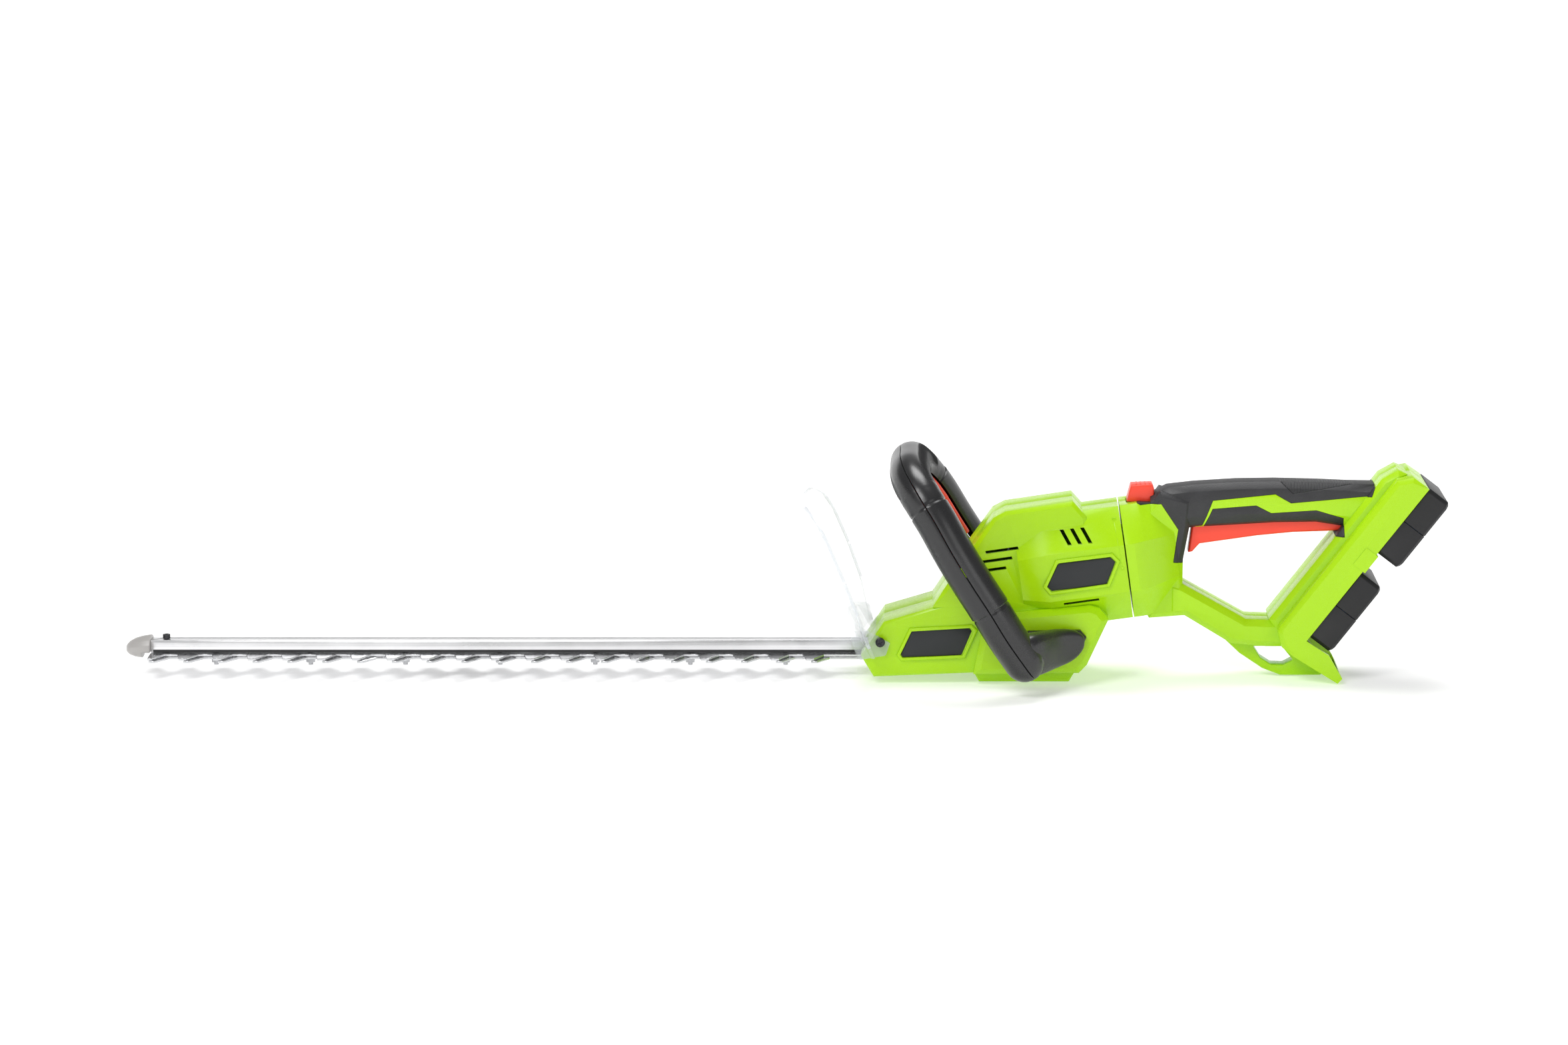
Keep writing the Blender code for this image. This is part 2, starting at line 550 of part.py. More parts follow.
def drive(crank, spindle):
    """Crank gear with its two eccentrics, pin, washer, drive plate, motor, shaft and fan."""
    centre = (CRANK_X, 0)
    gear = toothed("gear", GEAR_TEETH, GEAR_RADIUS - 1.25 * GEAR_MODULE, GEAR_RADIUS + 0.8 * GEAR_MODULE,
                   (0.62, 0.24), GEAR_Z, GEAR_Z + GEAR_THICK, centre)
    upper = turned("eccentric", [(UPPER_BLADE_Z - FIT / 2, ECCENTRIC_RADIUS), (GEAR_Z + MM, ECCENTRIC_RADIUS)],
                   (CRANK_X, CRANK_OFFSET, 0))
    lower = turned("eccentric", [(BLADE_BASE_Z, ECCENTRIC_RADIUS), (UPPER_BLADE_Z + MM, ECCENTRIC_RADIUS - 0.01 * MM)],
                   (CRANK_X, -CRANK_OFFSET, 0))
    join(gear, upper, lower)
    bore = CRANK_PIN_RADIUS + 0.06 * MM
    cut(gear, turned("bore", [(0, bore), (0.06, bore)], (CRANK_X, 0, 0), steps=20))
    publish(gear, "crank_gear", "steel", crank)

    top_z = DRIVE_PLATE_Z + DRIVE_PLATE_THICK
    pin = turned("pin", [(BLADE_BASE_Z - 4 * MM, CRANK_PIN_RADIUS), (top_z + FIT, CRANK_PIN_RADIUS),
                         (top_z + FIT, CRANK_PIN_RADIUS + 2.5 * MM), (top_z + 2.5 * MM, CRANK_PIN_RADIUS + 2.5 * MM)],
                 (CRANK_X, 0, 0), steps=20)
    gear_top = GEAR_Z + GEAR_THICK
    join(pin, washer("collar", CRANK_PIN_RADIUS - 0.8 * MM, 7 * MM, gear_top + FIT, DRIVE_PLATE_Z - FIT, (CRANK_X, 0, 0),
                     steps=20))
    publish(pin, "crank_pin", "steel")

    half = NOSE_HALF - WALL - 2 * MM
    wide = GEARBOX_HALF - WALL - 4 * MM
    edge = [(RAIL_REAR_X - 42 * MM, half - 8 * MM), (RAIL_REAR_X - 34 * MM, half), (CRANK_X - 17 * MM, half),
            (CRANK_X - 11 * MM, wide), (MOTOR_X + 22 * MM, wide), (MOTOR_X + 30 * MM, wide - 10 * MM)]
    plate = sheet("plate", mirrored(edge), DRIVE_PLATE_Z, top_z)
    holes = [(CRANK_X, CRANK_PIN_RADIUS + 0.1 * MM), (MOTOR_X, PINION_RADIUS + 2.5 * MM)]
    holes += [(x, BOLT_RADIUS + FIT) for x in rail_screw_places()]
    for x, radius in holes:
        cut(plate, turned("hole", [(DRIVE_PLATE_Z - MM, radius), (top_z + MM, radius)], (x, 0, 0), steps=16))
    publish(plate, "drive_plate", "steel")
    for name, x in zip(("rail_screw_front", "rail_screw_rear"), rail_screw_places()):
        cap_screw(name, (x, 0, top_z + FIT), (0, 0, 1), 12 * MM)

    motor = [(MOTOR_Z, SHAFT_RADIUS + 0.1 * MM), (MOTOR_Z, MOTOR_RADIUS - 2 * MM), (MOTOR_Z + 2 * MM, MOTOR_RADIUS),
             (MOTOR_Z + MOTOR_LENGTH - 3 * MM, MOTOR_RADIUS), (MOTOR_Z + MOTOR_LENGTH, MOTOR_RADIUS - 6 * MM),
             (MOTOR_Z + MOTOR_LENGTH, SHAFT_RADIUS + 0.1 * MM)]
    publish(turned("motor", motor, (MOTOR_X, 0, 0), steps=28, closed=True), "motor_can", "dark_steel")
    shaft = turned("shaft", [(GEAR_Z - 1.5 * MM, SHAFT_RADIUS), (SHAFT_TOP_Z + 2 * MM, SHAFT_RADIUS)], (MOTOR_X, 0, 0), steps=16)
    # An odd tooth count gives the pinion a gap where the gear's tooth lies on the centre line.
    pinion = toothed("pinion", PINION_TEETH, PINION_RADIUS - 1.2 * GEAR_MODULE, PINION_RADIUS + 0.8 * GEAR_MODULE,
                     (0.62, 0.22), GEAR_Z, MOTOR_Z - MM, (MOTOR_X, 0))
    join(shaft, pinion)
    publish(shaft, "motor_shaft", "steel", spindle)
    fan_z = MOTOR_Z + MOTOR_LENGTH + MM
    fan = toothed("fan", 9, 6 * MM, FAN_RADIUS, (0.55, 0.18), fan_z, fan_z + 6 * MM, (MOTOR_X, 0))
    cut(fan, turned("bore", [(0, SHAFT_RADIUS + 0.05 * MM), (0.3, SHAFT_RADIUS + 0.05 * MM)], (MOTOR_X, 0, 0), steps=16))
    publish(fan, "cooling_fan", "black", spindle)
    board_x = MOTOR_X - MOTOR_RADIUS - 9 * MM
    publish(box("board", (board_x, -18 * MM, 66 * MM), (board_x + 1.6 * MM, 18 * MM, 106 * MM)), "controller_board", "board")


# ---------------------------------------------------------------- casing

NOSE_OUTLINE = outline((-134, 23), (-123.6, 5.4), (-41.8, 8.6), (20, 12), (20, 66), (-66, 66.2), (-115, 51.6))
GEARBOX_OUTLINE = outline((-41.5, 9), (-34, 48), (-21, 60), (-5.9, 61), (54, 67), (61.6, 64.5), (69.3, 55.3), (51.5, 16.7), (45, 10))
DOME_OUTLINE = outline((-75, 64), (-66, 78), (-25, 137), (-15, 142.3), (40, 150.5), (51, 138), (53, 64))
BARREL_FRONT = -88.0 * MM


def dome(name, points, less, edge):
    """Motor housing with sides that draw in towards the top, and a chamfer over it."""
    drawn = [there if here[1] > DOME_BASE_Z else here for here, there in zip(points, inset(points, edge))]
    rings = []
    for side, form, back in ((-1, drawn, 0), (-1, points, edge), (1, points, edge), (1, drawn, 0)):
        ring = []
        for x, z in form:
            share = (z - DOME_BASE_Z) / (DOME_TOP_Z - DOME_BASE_Z)
            half = NOSE_HALF + (DOME_TOP_HALF - NOSE_HALF) * share - less - back
            ring.append(Vector((x, side * half, z)))
        rings.append(ring)
    return loft(name, rings)


def barrel(name, less, front, rear):
    """Octagonal barrel behind the dome, in line with the swivelling handle."""
    half = COLLAR_HALF - less
    short = 0.84
    rings = [octagon(front, half * short, half * short), octagon(front + 22 * MM - less, half, half), octagon(rear, half, half)]
    return loft(name, rings)


def slanted_slot(centre_x, centre_z, length, width, angle):
    """Vent cutter through both walls, a parallelogram seen from the side."""
    along = Vector((math.cos(angle), math.sin(angle))) * length / 2
    across = Vector((0.35, -1.0)).normalized() * width / 2 if abs(angle) < 0.8 else Vector((1.0, 0.1)) * width / 2
    middle = Vector((centre_x, centre_z))
    corners = [middle - along - across, middle + along - across, middle + along + across, middle - along + across]
    return slab("slot", [tuple(c) for c in corners], -0.1, 0.1)


def casing():
    """Left and right mouldings around the drive, with vents, mouth and swivel seat."""
    shell = soft_slab("shell", NOSE_OUTLINE, -NOSE_HALF, NOSE_HALF, 2 * MM)
    gearbox = soft_slab("gearbox", GEARBOX_OUTLINE, -GEARBOX_HALF, GEARBOX_HALF, 5 * MM)
    motor_dome = dome("dome", DOME_OUTLINE, 0, 3 * MM)
    join(shell, gearbox, motor_dome, barrel("barrel", 0, BARREL_FRONT, -0.5 * MM))
    cut(shell,
        slab("nose room", inset(NOSE_OUTLINE, WALL), -NOSE_HALF + WALL, NOSE_HALF - WALL),
        slab("gear room", inset(GEARBOX_OUTLINE, WALL), -GEARBOX_HALF + WALL, GEARBOX_HALF - WALL),
        dome("motor room", inset(DOME_OUTLINE, WALL), WALL, 2 * MM),
        barrel("barrel room", WALL, BARREL_FRONT + 4 * MM, -4.5 * MM),
        box("motor way", (-60 * MM, -NOSE_HALF + WALL, 40 * MM), (47 * MM, NOSE_HALF - WALL, 72 * MM)))
    mouth = BAND_HALF + 2 * MM
    cut(shell,
        box("mouth", (-150 * MM, -mouth, BLADE_BASE_Z - 1.6 * MM), (-110 * MM, mouth, RAIL_TOP_Z + MM)),
        box("floor", (-38 * MM, -FOOT_HALF + 5 * MM, -0.01), (38 * MM, FOOT_HALF - 5 * MM, 14 * MM)),
        turned("swivel seat", [(-20 * MM, HUB_RADIUS + RUN), (5 * MM, HUB_RADIUS + RUN)], SWIVEL_CENTRE, SWIVEL_AXIS, 32))
    slant = math.radians(8)
    for row in range(3):
        cut(shell, slanted_slot((-18 - 4 * row) * MM, (111 - 8 * row) * MM, (27 - 2 * row) * MM, 2.6 * MM, slant))
    for column in range(3):
        cut(shell, slanted_slot((34 + 8.4 * column) * MM, (122.5 + 0.9 * column) * MM, 13 * MM, 3.2 * MM, math.radians(-58)))
    cut(shell, slanted_slot(47 * MM, 70.3 * MM, 29 * MM, 2.2 * MM, slant))
    for side in (-1, 1):
        for x, z, half, depth in (*guard_screw_places(), *ear_screw_places()):
            cut(shell, turned("hole", [(-depth, 2.0 * MM), (3 * MM, 2.0 * MM)], (x, side * half, z), (0, side, 0), 12))
        cut(shell, label_blank("recess", NOSE_LABEL, NOSE_HALF, side, FIT, True),
            label_blank("recess", BARREL_LABEL, COLLAR_HALF, side, FIT, True))
    halves(shell, ("housing_left", "housing_right"), "lime")


def guard_screw_places():
    return ((-118 * MM, 35.8 * MM, NOSE_HALF, 12 * MM),)


def ear_screw_places():
    return ((42 * MM, 38.5 * MM, GEARBOX_HALF, 10 * MM),)


NOSE_LABEL = outline((-101, 24.7), (-92.2, 43.8), (-91, 44.6), (-45, 46.6), (-43, 44.3), (-51, 25.2), (-52.5, 24), (-99.4, 22.4))
BARREL_LABEL = outline((19.1, 83.9), (27.2, 101.8), (28.8, 103), (70.0, 108.2), (74.0, 104.4), (67.4, 86.7), (66, 85.6), (22.3, 80.4))


def label_blank(name, points, half, side, grow, recess):
    """Plain plate let into the casing's side, or the recess that takes it."""
    seat = half - 0.5 * MM - (FIT if recess else 0)
    face = half + 5 * MM if recess else seat + PLATE_THICK
    low, high = sorted((side * seat, side * face))
    return slab(name, inset(points, -grow if recess else 0), low, high)


def labels():
    """Blank name plates on both sides."""
    for side, word in ((-1, "left"), (1, "right")):
        publish(label_blank("label", NOSE_LABEL, NOSE_HALF, side, 0, False), f"nose_plate_{word}", "label")
        publish(label_blank("label", BARREL_LABEL, COLLAR_HALF, side, 0, False), f"badge_plate_{word}", "label")


def foot_cover():
    """Bottom cover of the gearbox; its flat underside is the front foot."""
    edge = outline((-41, 8.2), (-36.8, 0), (37.3, 0), (42, 8.2))
    foot = soft_slab("foot", edge, -FOOT_HALF, FOOT_HALF, 2 * MM, lambda x, z: z > 8 * MM)
    # The plug stands inside the casing's floor opening, under the crank.
    plug = box("plug", (-38 * MM + FIT, -FOOT_HALF + 5 * MM + FIT, 8 * MM), (38 * MM - FIT, FOOT_HALF - 5 * MM - FIT, 12.4 * MM))
    join(foot, plug)
    cut(foot, turned("bush", [(5 * MM, CRANK_PIN_RADIUS + 0.1 * MM), (20 * MM, CRANK_PIN_RADIUS + 0.1 * MM)], (CRANK_X, 0, 0), steps=20))
    publish(foot, "foot_cover", "lime")


# ---------------------------------------------------------------- hand guard

def guard_half_width(z):
    """Half the guard's width at a height."""
    stops = ((22, 42), (40, 62), (62, 78), (95, 85), (125, 83), (140, 74), (149, 58))
    for (z0, w0), (z1, w1) in zip(stops, stops[1:]):
        if z <= z1 * MM:
            share = max(0.0, (z / MM - z0) / (z1 - z0))
            return (w0 + (w1 - w0) * share) * MM
    return stops[-1][1] * MM


def guard_x(y, z):
    """Front of the curved shield: it leans forward and sweeps back towards its sides."""
    height = z / MM
    lean = -129.5 - 0.56 * (height - 22) + 0.00095 * (height - 22) ** 2
    return (lean + 18.0 * (y / (85 * MM)) ** 2) * MM


def hand_guard():
    """Clear shield and the sleeve that holds it to the casing's nose."""
    thick = 3.0 * MM
    columns = 8
    rows = [22, 33, 45, 62, 80, 98, 114, 128, 138, 145, 149]
    front, back = [], []
    for height in rows:
        z = height * MM
        half = guard_half_width(z)
        for column in range(columns + 1):
            y = half * (2 * column / columns - 1)
            front.append(Vector((guard_x(y, z), y, z)))
            back.append(Vector((guard_x(y, z) + thick, y, z)))
    wide = columns + 1
    faces = []
    offset = len(front)
    for row in range(len(rows) - 1):
        for column in range(columns):
            a = row * wide + column
            faces.append((a, a + 1, a + 1 + wide, a + wide))
            faces.append((a + offset, a + wide + offset, a + 1 + wide + offset, a + 1 + offset))
    border = [c for c in range(wide)] + [r * wide + columns for r in range(1, len(rows))]
    border += [(len(rows) - 1) * wide + c for c in range(columns - 1, -1, -1)]
    border += [r * wide for r in range(len(rows) - 2, 0, -1)]
    for a, b in zip(border, border[1:] + border[:1]):
        faces.append((a, b, b + offset, a + offset))
    guard = solid("guard", front + back, faces)

    sleeve_wall = 2.4 * MM
    inner = NOSE_HALF + FIT
    outer = inner + sleeve_wall
    skirt = outline((-137, 22), (-134, 20.5), (-113.6, 24.0), (-108.7, 38.2), (-113.2, 52.4), (-117, 55.6), (-146, 49))
    join(guard, slab("sleeve", skirt, -outer, outer))
    open_half = BAND_HALF + 3 * MM
    tooth_half = TIP_HALF + 3 * MM
    cut(guard, box("rail gap", (-0.25, -open_half, 0.005), (-125 * MM, open_half, RAIL_TOP_Z + 3 * MM)),
        box("blade gap", (-0.25, -tooth_half, 0.0), (-133 * MM, tooth_half, BLADES_TOP_Z + 2.5 * MM)))
    cut(guard, slab("nose room", inset(NOSE_OUTLINE, -FIT), -inner, inner))
    for side in (-1, 1):
        for x, z, half, _ in guard_screw_places():
            cut(guard, turned("hole", [(-3 * MM, 2.1 * MM), (9 * MM, 2.1 * MM)], (x, side * half, z), (0, side, 0), 12))
    publish(guard, "hand_guard", "clear")
    for side, word in ((-1, "left"), (1, "right")):
        for x, z, half, depth in guard_screw_places():
            cap_screw(f"guard_screw_{word}", (x, side * (outer + FIT), z), (0, side, 0), depth)


# ---------------------------------------------------------------- loop handle

def loop_line():
    """Centre line of the loop from the near foot over the top to the far foot."""
    near = [(-0.5, -84, 29), (-15, -86, 50.5), (-28, -86, 72), (-43, -83.5, 95), (-57.5, -80, 118.4),
            (-71, -74, 142), (-82, -66, 158.5), (-90, -51, 169.5), (-93, -30, 174)]
    near = [Vector(p) * MM for p in near]
    top = [Vector((-93.3, 0, 174.6)) * MM]
    far = [Vector((p.x, -p.y, p.z)) for p in reversed(near)]
    return near + top + far


def loop_frames():
    """Points of the loop's centre line with the directions forwards and towards its inside."""
    path = smooth_path(loop_line(), 2)
    frames = []
    for i, point in enumerate(path):
        along = (path[min(i + 1, len(path) - 1)] - path[max(i - 1, 0)]).normalized()
        forward = (LOOP_FRONT - along * LOOP_FRONT.dot(along)).normalized()
        frames.append((point, forward, forward.cross(along)))
    return frames


SWITCH_END_Z = 100.0 * MM


def loop_shell(side):
    """Front (side 1) or rear (side -1) moulding of the loop, with the slot for the switch bar."""
    rings = []
    arc = 7
    frames = loop_frames()
    last = len(frames) - 1
    for i, (point, forward, inward) in enumerate(frames):
        narrow = 0.82 if i in (0, last) else 1.0
        start = SWITCH_SLOT if point.z > SWITCH_END_Z - MM else math.radians(1.0)
        ring = []
        for radius, order in ((LOOP_RADIUS * narrow, 1), (LOOP_RADIUS * narrow - LOOP_WALL, -1)):
            angles = [start + (math.pi - start) * k / (arc - 1) for k in range(arc)]
            for angle in angles[::order]:
                ring.append(point + inward * radius * math.cos(angle)
                            + forward * side * (radius * math.sin(angle) + FIT / 2))
        rings.append(ring)
    return loft("loop", rings)


def loop_foot(side):
    """Arm from the loop's lower end to the flange screwed on the casing."""
    y = side
    heel = [(0.0, -84.0, 30.0, 14.0, 14.0), (12.0, -74.0, 32.0, 14.0, 13.5), (22.0, -62.0, 34.5, 14.5, 13.0)]
    rings = []
    forward = Vector((0.55, -y * 0.80, 0.10)).normalized()
    for x, across, z, wide, tall in heel:
        centre = Vector((x, -y * across, z)) * MM
        right = forward.cross(Vector((0, 0, 1))).normalized()
        up = right.cross(forward)
        ring = []
        for step in range(10):
            angle = 2 * math.pi * step / 10
            ring.append(centre + (right * wide * math.cos(angle) + up * tall * math.sin(angle)) * MM)
        rings.append(ring)
    arm = loft("arm", rings)
    face = GEARBOX_HALF + FIT
    flange = outline((5, 47), (46, 47.8), (51, 42), (47.3, 31.5), (39, 23.5), (22.5, 20), (8, 24), (1, 36))
    low, high = sorted((y * face, y * (face + 5 * MM)))
    pad = slab("pad", flange, low, high)
    # The fairing thickens the flange towards the arm.
    fairing_rings = []
    for reach, shrink, shift in ((face + 4 * MM, 0.0, 0.0), (face + 16 * MM, 7.0 * MM, -7 * MM)):
        points = inset(flange, shrink)
        fairing_rings.append([Vector((x + shift, y * reach, z)) for x, z in points])
    join(arm, loft("fairing", fairing_rings), pad)
    front_limit = [(p.x, p.z) for p, _, _ in loop_frames()[:9]]
    shift = Vector((LOOP_FRONT.x, LOOP_FRONT.z)) * -FIT
    keep_out = [(a + shift.x, b + shift.y) for a, b in front_limit]
    first, last = Vector(keep_out[0]), Vector(keep_out[-1])
    down = Vector((-LOOP_UP.x, -LOOP_UP.z))
    keep_out = [tuple(first + down * 0.05)] + keep_out + [(last.x - 0.1, last.y), (first.x - 0.1, first.y - 0.05)]
    cut(arm, slab("front half", keep_out, *sorted((y * 0.2, y * 0.03))))
    # Clearance under the screw head and through the flange.
    for x, z, half, _ in ear_screw_places():
        cut(arm, turned("hole", [(-3 * MM, 2.1 * MM), (40 * MM, 2.1 * MM)], (x, y * half, z), (0, y, 0), 12),
            turned("seat", [(0, SCREW_HEAD + 0.8 * MM), (40 * MM, SCREW_HEAD + 0.8 * MM)], (x, y * (face + 5 * MM), z), (0, y, 0), 16))
    return arm


def loop_handle(switch_slide):
    """Loop mouldings, their fixing screws, the red switch bar, its switch and spring."""
    publish(loop_shell(1), "loop_front_shell", "black")
    rear = loop_shell(-1)
    join(rear, loop_foot(-1), loop_foot(1))
    publish(rear, "loop_rear_shell", "black")
    for side, word in ((-1, "left"), (1, "right")):
        for x, z, half, depth in ear_screw_places():
            cap_screw(f"loop_screw_{word}", (x, side * (half + 5 * MM + 2 * FIT), z), (0, side, 0), depth + 4 * MM)

    rings = []
    section = [(9.5, -0.85), (LOOP_RADIUS / MM + 1.5, -1.0), (LOOP_RADIUS / MM + 3.6, -0.6),
               (LOOP_RADIUS / MM + 3.6, 0.6), (LOOP_RADIUS / MM + 1.5, 1.0), (9.5, 0.85)]
    for point, forward, inward in loop_frames():
        if point.z < SWITCH_END_Z:
            continue
        rings.append([point + inward * reach * MM + forward * share * SWITCH_HALF for reach, share in section])
    publish(loft("bar", rings), "front_switch_bar", "red", switch_slide)

    top = loop_line()[len(loop_line()) // 2]
    body = []
    for y in (-11 * MM, 11 * MM):
        corners = ((-12.5, -5), (-12.5, 5), (-3.5, 5), (-3.5, -5))
        body.append([top + Vector((0, y, 0)) - LOOP_UP * reach * MM + LOOP_FRONT * across * MM for reach, across in corners])
    publish(loft("switch", body), "front_switch", "black")
    base = top - LOOP_UP * 9.2 * MM + Vector((0, 22 * MM, 0))
    publish(spring("spring", base, LOOP_UP, 21.5 * MM, 2.8 * MM, 0.45 * MM, 5), "front_switch_spring", "steel")


# ---------------------------------------------------------------- rear handle

GRIP_STATIONS = (   # x, underside, top, half width
    (104, 124, 152, 17), (118, 123, 159, 17.5), (140, 126, 161.5, 17.5), (175, 128, 163.6, 17.5),
    (206, 129.8, 164, 17.5), (240, 130.2, 163.2, 17), (266, 126, 162, 17), (290, 118, 161.5, 18), (304, 114, 161, 19))


def grip_body(name, less):
    """Lofted grip, or the same form a little smaller all round."""
    section = [(0.52, 1.0), (0.86, 0.72), (1.0, 0.25), (1.0, -0.45), (0.78, -0.86), (0.50, -1.0)]
    section = section + [(-y, z) for y, z in reversed(section)]
    rings = []
    for x, under, top, half in GRIP_STATIONS:
        middle = (under + top) / 2 * MM
        tall = (top - under) / 2 * MM - less
        rings.append([Vector((x * MM, side * (half * MM - less), middle + up * tall)) for side, up in section])
    return loft(name, rings)


NECK_OUTLINE = outline((100, 140), (112, 157), (138, 150), (136, 127), (131, 100), (130.8, 79), (138, 62), (132.7, 53), (103.5, 50.8), (100.5, 56))
STRUT_OUTLINE = outline((118, 83), (118, 53), (132.7, 52.9), (171.3, 29.3), (200, 26.8), (222, 26.8), (230, 44), (214, 48.5), (183.4, 49.7), (131, 79.4))
HANG_OUTLINE = outline((160, 37), (178.8, 19), (197.7, 6.2), (212.6, 0.4), (246, 0.4), (252, 8), (232, 34), (210, 34))
HANG_HOLE = outline((190, 25.2), (196, 15.5), (205, 9.6), (215, 9.2), (223, 13.5), (213.5, 25.2))
UPPER_GRIP_REGION = outline(
    (87.6, 150.6), (95.8, 146.2), (112.7, 147.2), (127, 125.5), (122.9, 99), (129.5, 97.5), (140, 99), (141, 127),
    (146.4, 127.7), (154.9, 149.6), (206.1, 154.7), (219, 147.4), (284.3, 153.1), (288.6, 164.8), (288, 175), (105, 175), (88, 165))
LOWER_GRIP_REGION = outline((147.6, 120), (148.6, 128.2), (155, 142.4), (190.4, 145.2), (202.7, 138.8), (239.7, 141), (261.9, 134.3), (262.3, 120))
TRIGGER_OUTLINE = outline(
    (135.6, 104.2), (139.0, 104.9), (145, 111.6), (163.4, 114.4), (192, 118.3), (220.9, 121.1), (250, 122.1), (262, 123), (266, 127.5),
    (265, 132.5), (259, 135.8), (250, 135), (236, 131.8), (160, 133.2), (139.5, 134))
TRIGGER_PIVOT = Vector((258.8, 0, 130.8)) * MM
TRIGGER_PIN_RADIUS = 1.5 * MM


def band(name, region, depth, grow):
    """Tool that skins a region of the grip down to a depth."""
    tool = slab(name, inset(region, -grow), -0.06, 0.06)
    return cut(tool, grip_core(depth))


def grip_core(depth):
    """Grip and neck together, made smaller all round by a depth."""
    core = grip_body("core", depth)
    neck = soft_slab("neck", inset(NECK_OUTLINE, depth), -19 * MM + depth, 19 * MM - depth, 3.5 * MM)
    knuckle = knuckle_body("knuckle", depth)
    return join(core, neck, knuckle)


def knuckle_body(name, less):
    """Faceted body behind the swivel joint, narrowing towards the grip."""
    rings = [octagon(0.6 * MM, COLLAR_HALF - less, COLLAR_HALF - less),
             octagon(8 * MM, COLLAR_HALF - less, COLLAR_HALF - less),
             octagon(17 * MM, 42 * MM - less, COLLAR_HALF - less),
             octagon(42 * MM - less, 20 * MM - less, 42 * MM - less)]
    return loft(name, rings)


def battery_plate():
    """Sloped plate with its spine, bump and foot scoop."""
    plate_outline = [on_slope(*p) for p in outline((-8, 12), (0, 2), (4, 0), (158, 0), (168, 9), (168.4, 24.2), (-8.2, 24.2))]
    plate = soft_slab("plate", plate_outline, -PLATE_HALF, PLATE_HALF, 3.5 * MM, lambda x, z: slope_height(x, z) > 18 * MM)
    spine = [on_slope(*p) for p in outline((-2, 4), (2, -8), (150, -8), (164, -2), (166, 6))]
    join(plate, soft_slab("spine", spine, -23 * MM, 23 * MM, 4 * MM),
         slope_box("bump", (82.2 * MM, 99.6 * MM), (-PLATE_HALF - 0.8 * MM, PLATE_HALF + 0.8 * MM), (14 * MM, 26.2 * MM)))
    scoop = [on_slope(*p) for p in outline((-8.2, 22), (-3.9, 66.6), (1.7, 67.2), (10.4, 46.3), (8.4, 22))]
    join(plate, slab("scoop", scoop, -PLATE_HALF, PLATE_HALF))
    cut(plate, slope_box("pocket", (-2.5 * MM, 20 * MM), (-PLATE_HALF + 3 * MM, PLATE_HALF - 3 * MM), (27 * MM, 63 * MM)))
    return cut(plate, slab("hang hole", HANG_HOLE, -0.02, 0.02))


def slope_height(x, z):
    """Distance of a point outwards from the sloped plate's front."""
    return (Vector((x, 0, z)) - SLOPE_FOOT).dot(SLOPE_OUT)


def trigger_pockets():
    """Cutters for the slot that the trigger swings in and for the pin it swings on."""
    side = TRIGGER_HALF + RUN
    slot_top = outline((133.4, 103.4), (270, 122), (271, 133), (268, 139), (258, 141), (190, 146), (133.4, 147))
    bore = TRIGGER_PIN_RADIUS + 0.1 * MM
    return (slab("slot", inset(TRIGGER_OUTLINE, -RUN), -side, side),
            slab("slot", slot_top, -side, side),
            turned("pin hole", [(-13 * MM, bore), (13 * MM, bore)], TRIGGER_PIVOT, (0, 1, 0), 14))


